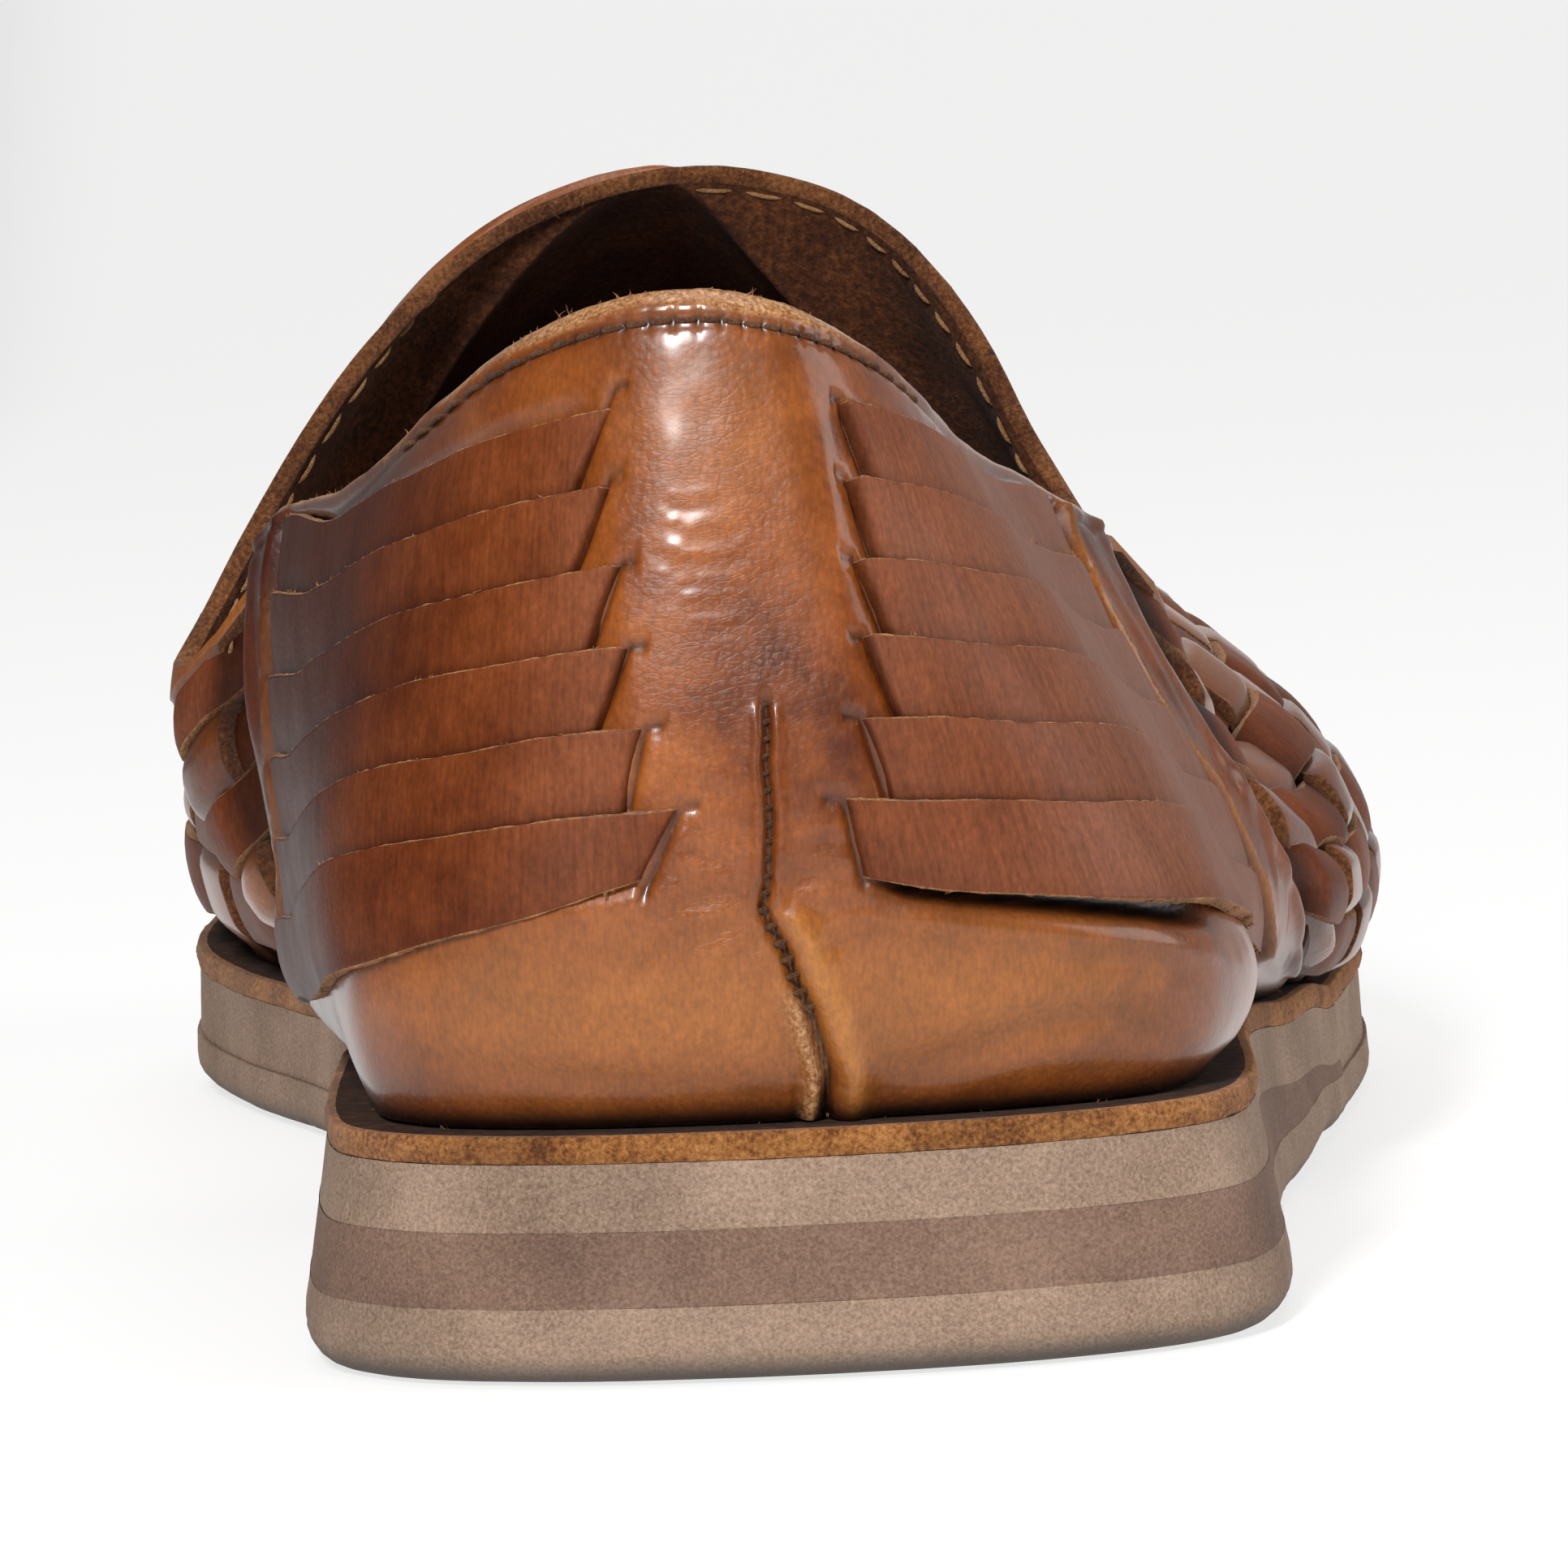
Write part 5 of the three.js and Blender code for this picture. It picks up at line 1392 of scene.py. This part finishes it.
# Short fibres standing out of the cut edges: (length in mm, how many to 10 mm of edge)
def fibres(name, material, spots, seed):
    rng = np.random.default_rng(seed)
    points, faces = [], []
    total = 0
    for rim, (length, crowd) in spots:
        border, away, place, outer, normal, thickness = rim
        a, b = outer[border[:, 0]], outer[border[:, 1]]
        steps = np.linalg.norm(b - a, axis=1)
        tufts = rng.poisson(steps.sum() / 10 * crowd / 5)
        chosen = np.repeat(rng.choice(len(border), tufts, p=steps / steps.sum()), 5)
        count = len(chosen)
        s = rng.random((count, 1))
        depth = rng.random((count, 1)) * 0.9
        base = a[chosen] * (1 - s) + b[chosen] * s
        roots = border[chosen, 0]
        out, face = away[place[roots]], normal[roots]
        base = base - face * thickness * depth + out * 0.12
        wild = rng.normal(size=(count, 3))
        way = out + 0.5 * wild * rng.random((count, 1))
        way = way + 0.45 * np.repeat(rng.normal(size=(tufts, 3)), 5, 0)
        way = unit(way + face * 0.3 * rng.normal(size=(count, 1)))
        tuftLength = 0.35 + np.repeat(rng.random((tufts, 1)) ** 3, 5, 0) * 2.2
        lengths = length * tuftLength * (0.6 + 0.4 * rng.random((count, 1)))
        bend = rng.normal(size=(count, 3)) * lengths * 0.3
        crosswise = unit(np.cross(way, rng.normal(size=(count, 3))))
        second = np.cross(way, crosswise)
        for level, thick in ((-0.1, 0.06), (0.5, 0.045), (1.0, 0.012)):
            centre = base + way * lengths * level + bend * max(level, 0) ** 2
            for angle in (0, 2.0944, 4.1888):
                points.append(centre + thick * (crosswise * math.cos(angle) + second * math.sin(angle)))
        order = np.arange(9 * count).reshape(9, count).T + total
        # points lie level by level, so that a fibre's own nine are count apart
        for level in (0, 3):
            for k in range(3):
                n = (k + 1) % 3
                around = [level + k, level + n, level + 3 + n, level + 3 + k]
                faces.append(order[:, around])
        total += 9 * count
    return makeObject(name, np.concatenate(points), np.concatenate(faces), [material])


details = [collarStitches(), seamStitches(), throatStitches()]
details.append(fibres("cut_edge_fibres", cutLeather, edgeSpots, 5))
for piece in details:
    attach(piece, "root")
print("sewing and fibres made")


# Stage, light and camera
def buildFloor():
    # the sweep's section in metres: flat, a quarter round of 0.8 m, and up
    bend = [(1.6 + 0.8 * math.sin(a), 0.8 - 0.8 * math.cos(a)) for a in np.linspace(0, math.pi / 2, 24)]
    profile = [(-2.5, 0), *bend, (2.4, 3.5)]
    bm = bmesh.new()
    rows = [[bm.verts.new((x, y, z - 0.0002)) for y, z in profile] for x in (-3.5, 3.5)]
    for k in range(len(profile) - 1):
        bm.faces.new((rows[0][k], rows[1][k], rows[1][k + 1], rows[0][k + 1]))
    mesh = bpy.data.meshes.new("paperSweep")
    bm.to_mesh(mesh)
    bm.free()
    mesh.shade_smooth()
    floor = linked("paperSweep", mesh)
    material, tree, out = newMaterial("seamlessPaperWhite")  # matt paper sweep that glows, painted light, so shadows on it stay soft
    shader = addNode(tree, "ShaderNodeBsdfPrincipled", Base_Color=linear("#8c8c8c"), Roughness=0.9)
    shader.inputs["Emission Color"].default_value = linear("#f4f4f4")
    place = addNode(tree, "ShaderNodeTexCoord").outputs["Object"]
    sideways = addNode(tree, "ShaderNodeSeparateXYZ", Vector=place).outputs["X"]
    # the sweep glows, painted light from its own emission, where it lies behind the shoe: the glow ends
    # sooner on the side that the shoe keeps in shade
    glow = lightLook["paperGlow"]
    for limits in (lightLook["glowLeft"], lightLook["glowRight"]):
        node = addNode(tree, "ShaderNodeMapRange", {"interpolation_type": "SMOOTHSTEP"}, Value=sideways)
        for socket, value in zip(("From Min", "From Max", "To Min", "To Max"), limits):
            node.inputs[socket].default_value = value
        glow = times(tree, node.outputs[0], glow)
    tree.links.new(glow, shader.inputs["Emission Strength"])
    tree.links.new(shader.outputs[0], out.inputs[0])
    mesh.materials.append(material)


lightLook = {
    "world": ("#fff4ea", 0.1),
    # metres across, and the share of the glow there
    "glowLeft": (-0.34, -0.14, 0.12, 1), "glowRight": (0.38, 0.7, 1, 0.35),
    "paperGlow": 0.8,  # the paper glows near white behind the shoe, painted light that stands in for a lit sweep
    # name, place, aim, size, watts
    "panels": [
        ("keySoftbox", (-0.32, -1.25, 0.8), (0, -0.06, 0.04), (0.14, 0.5), 21),
        ("rightWall", (1.5, -0.2, 0.6), (0, 0, 0.05), (1.2, 1.0), 11),
        ("overhead", (0.1, 0.0, 1.9), (0, 0, 0), (1.2, 1.2), 12),
    ],
}
buildFloor()
world = bpy.data.worlds.new("studioAir")
world.use_nodes = True
world.node_tree.nodes["Background"].inputs[0].default_value = linear(lightLook["world"][0])
world.node_tree.nodes["Background"].inputs[1].default_value = lightLook["world"][1]
bpy.context.scene.world = world
for name, place, aim, (width, height), watts in lightLook["panels"]:
    lamp = bpy.data.lights.new(name, "AREA")
    lamp.shape, lamp.size, lamp.size_y, lamp.energy = "RECTANGLE", width, height, watts
    holder = linked(name, lamp)
    holder.location = place
    holder.rotation_euler = (Vector(aim) - Vector(place)).to_track_quat("-Z", "Y").to_euler()

cameraLook = {
    "place": (-52, -720, 100),  # mm from the heel, with the shoe toed out and rolled as in the photograph
    "toeOut": 3.0, "roll": 2.5,  # degrees
    "aim": (0.0710, 1, -0.0787), "lensPixels": 5340 * 2.3, "photoPixels": 1932, "sensorMm": 36,
}


def placeCamera():
    look = cameraLook
    roll = Matrix.Rotation(math.radians(look["roll"]), 3, "Y").inverted()
    stance = roll @ Matrix.Rotation(-math.radians(look["toeOut"]), 3, "Z")
    forward = Vector(look["aim"]).normalized()
    right = forward.cross(Vector((0, 0, 1))).normalized()
    upWay = right.cross(forward)
    turned = Matrix((right, upWay, -forward)).transposed()
    back = stance.inverted()
    spot = back @ Vector(look["place"])
    camera = bpy.data.cameras.new("rearCamera")
    camera.sensor_width = look["sensorMm"]
    camera.lens = look["lensPixels"] / look["photoPixels"] * camera.sensor_width
    camera.clip_start, camera.clip_end = 0.05, 20
    holder = linked("rearCamera", camera)
    pose = (back @ turned).to_4x4()
    pose.translation = Vector(toRow(spot))
    holder.matrix_world = pose
    bpy.context.scene.camera = holder


placeCamera()
bpy.context.scene.view_settings.view_transform = "Standard"
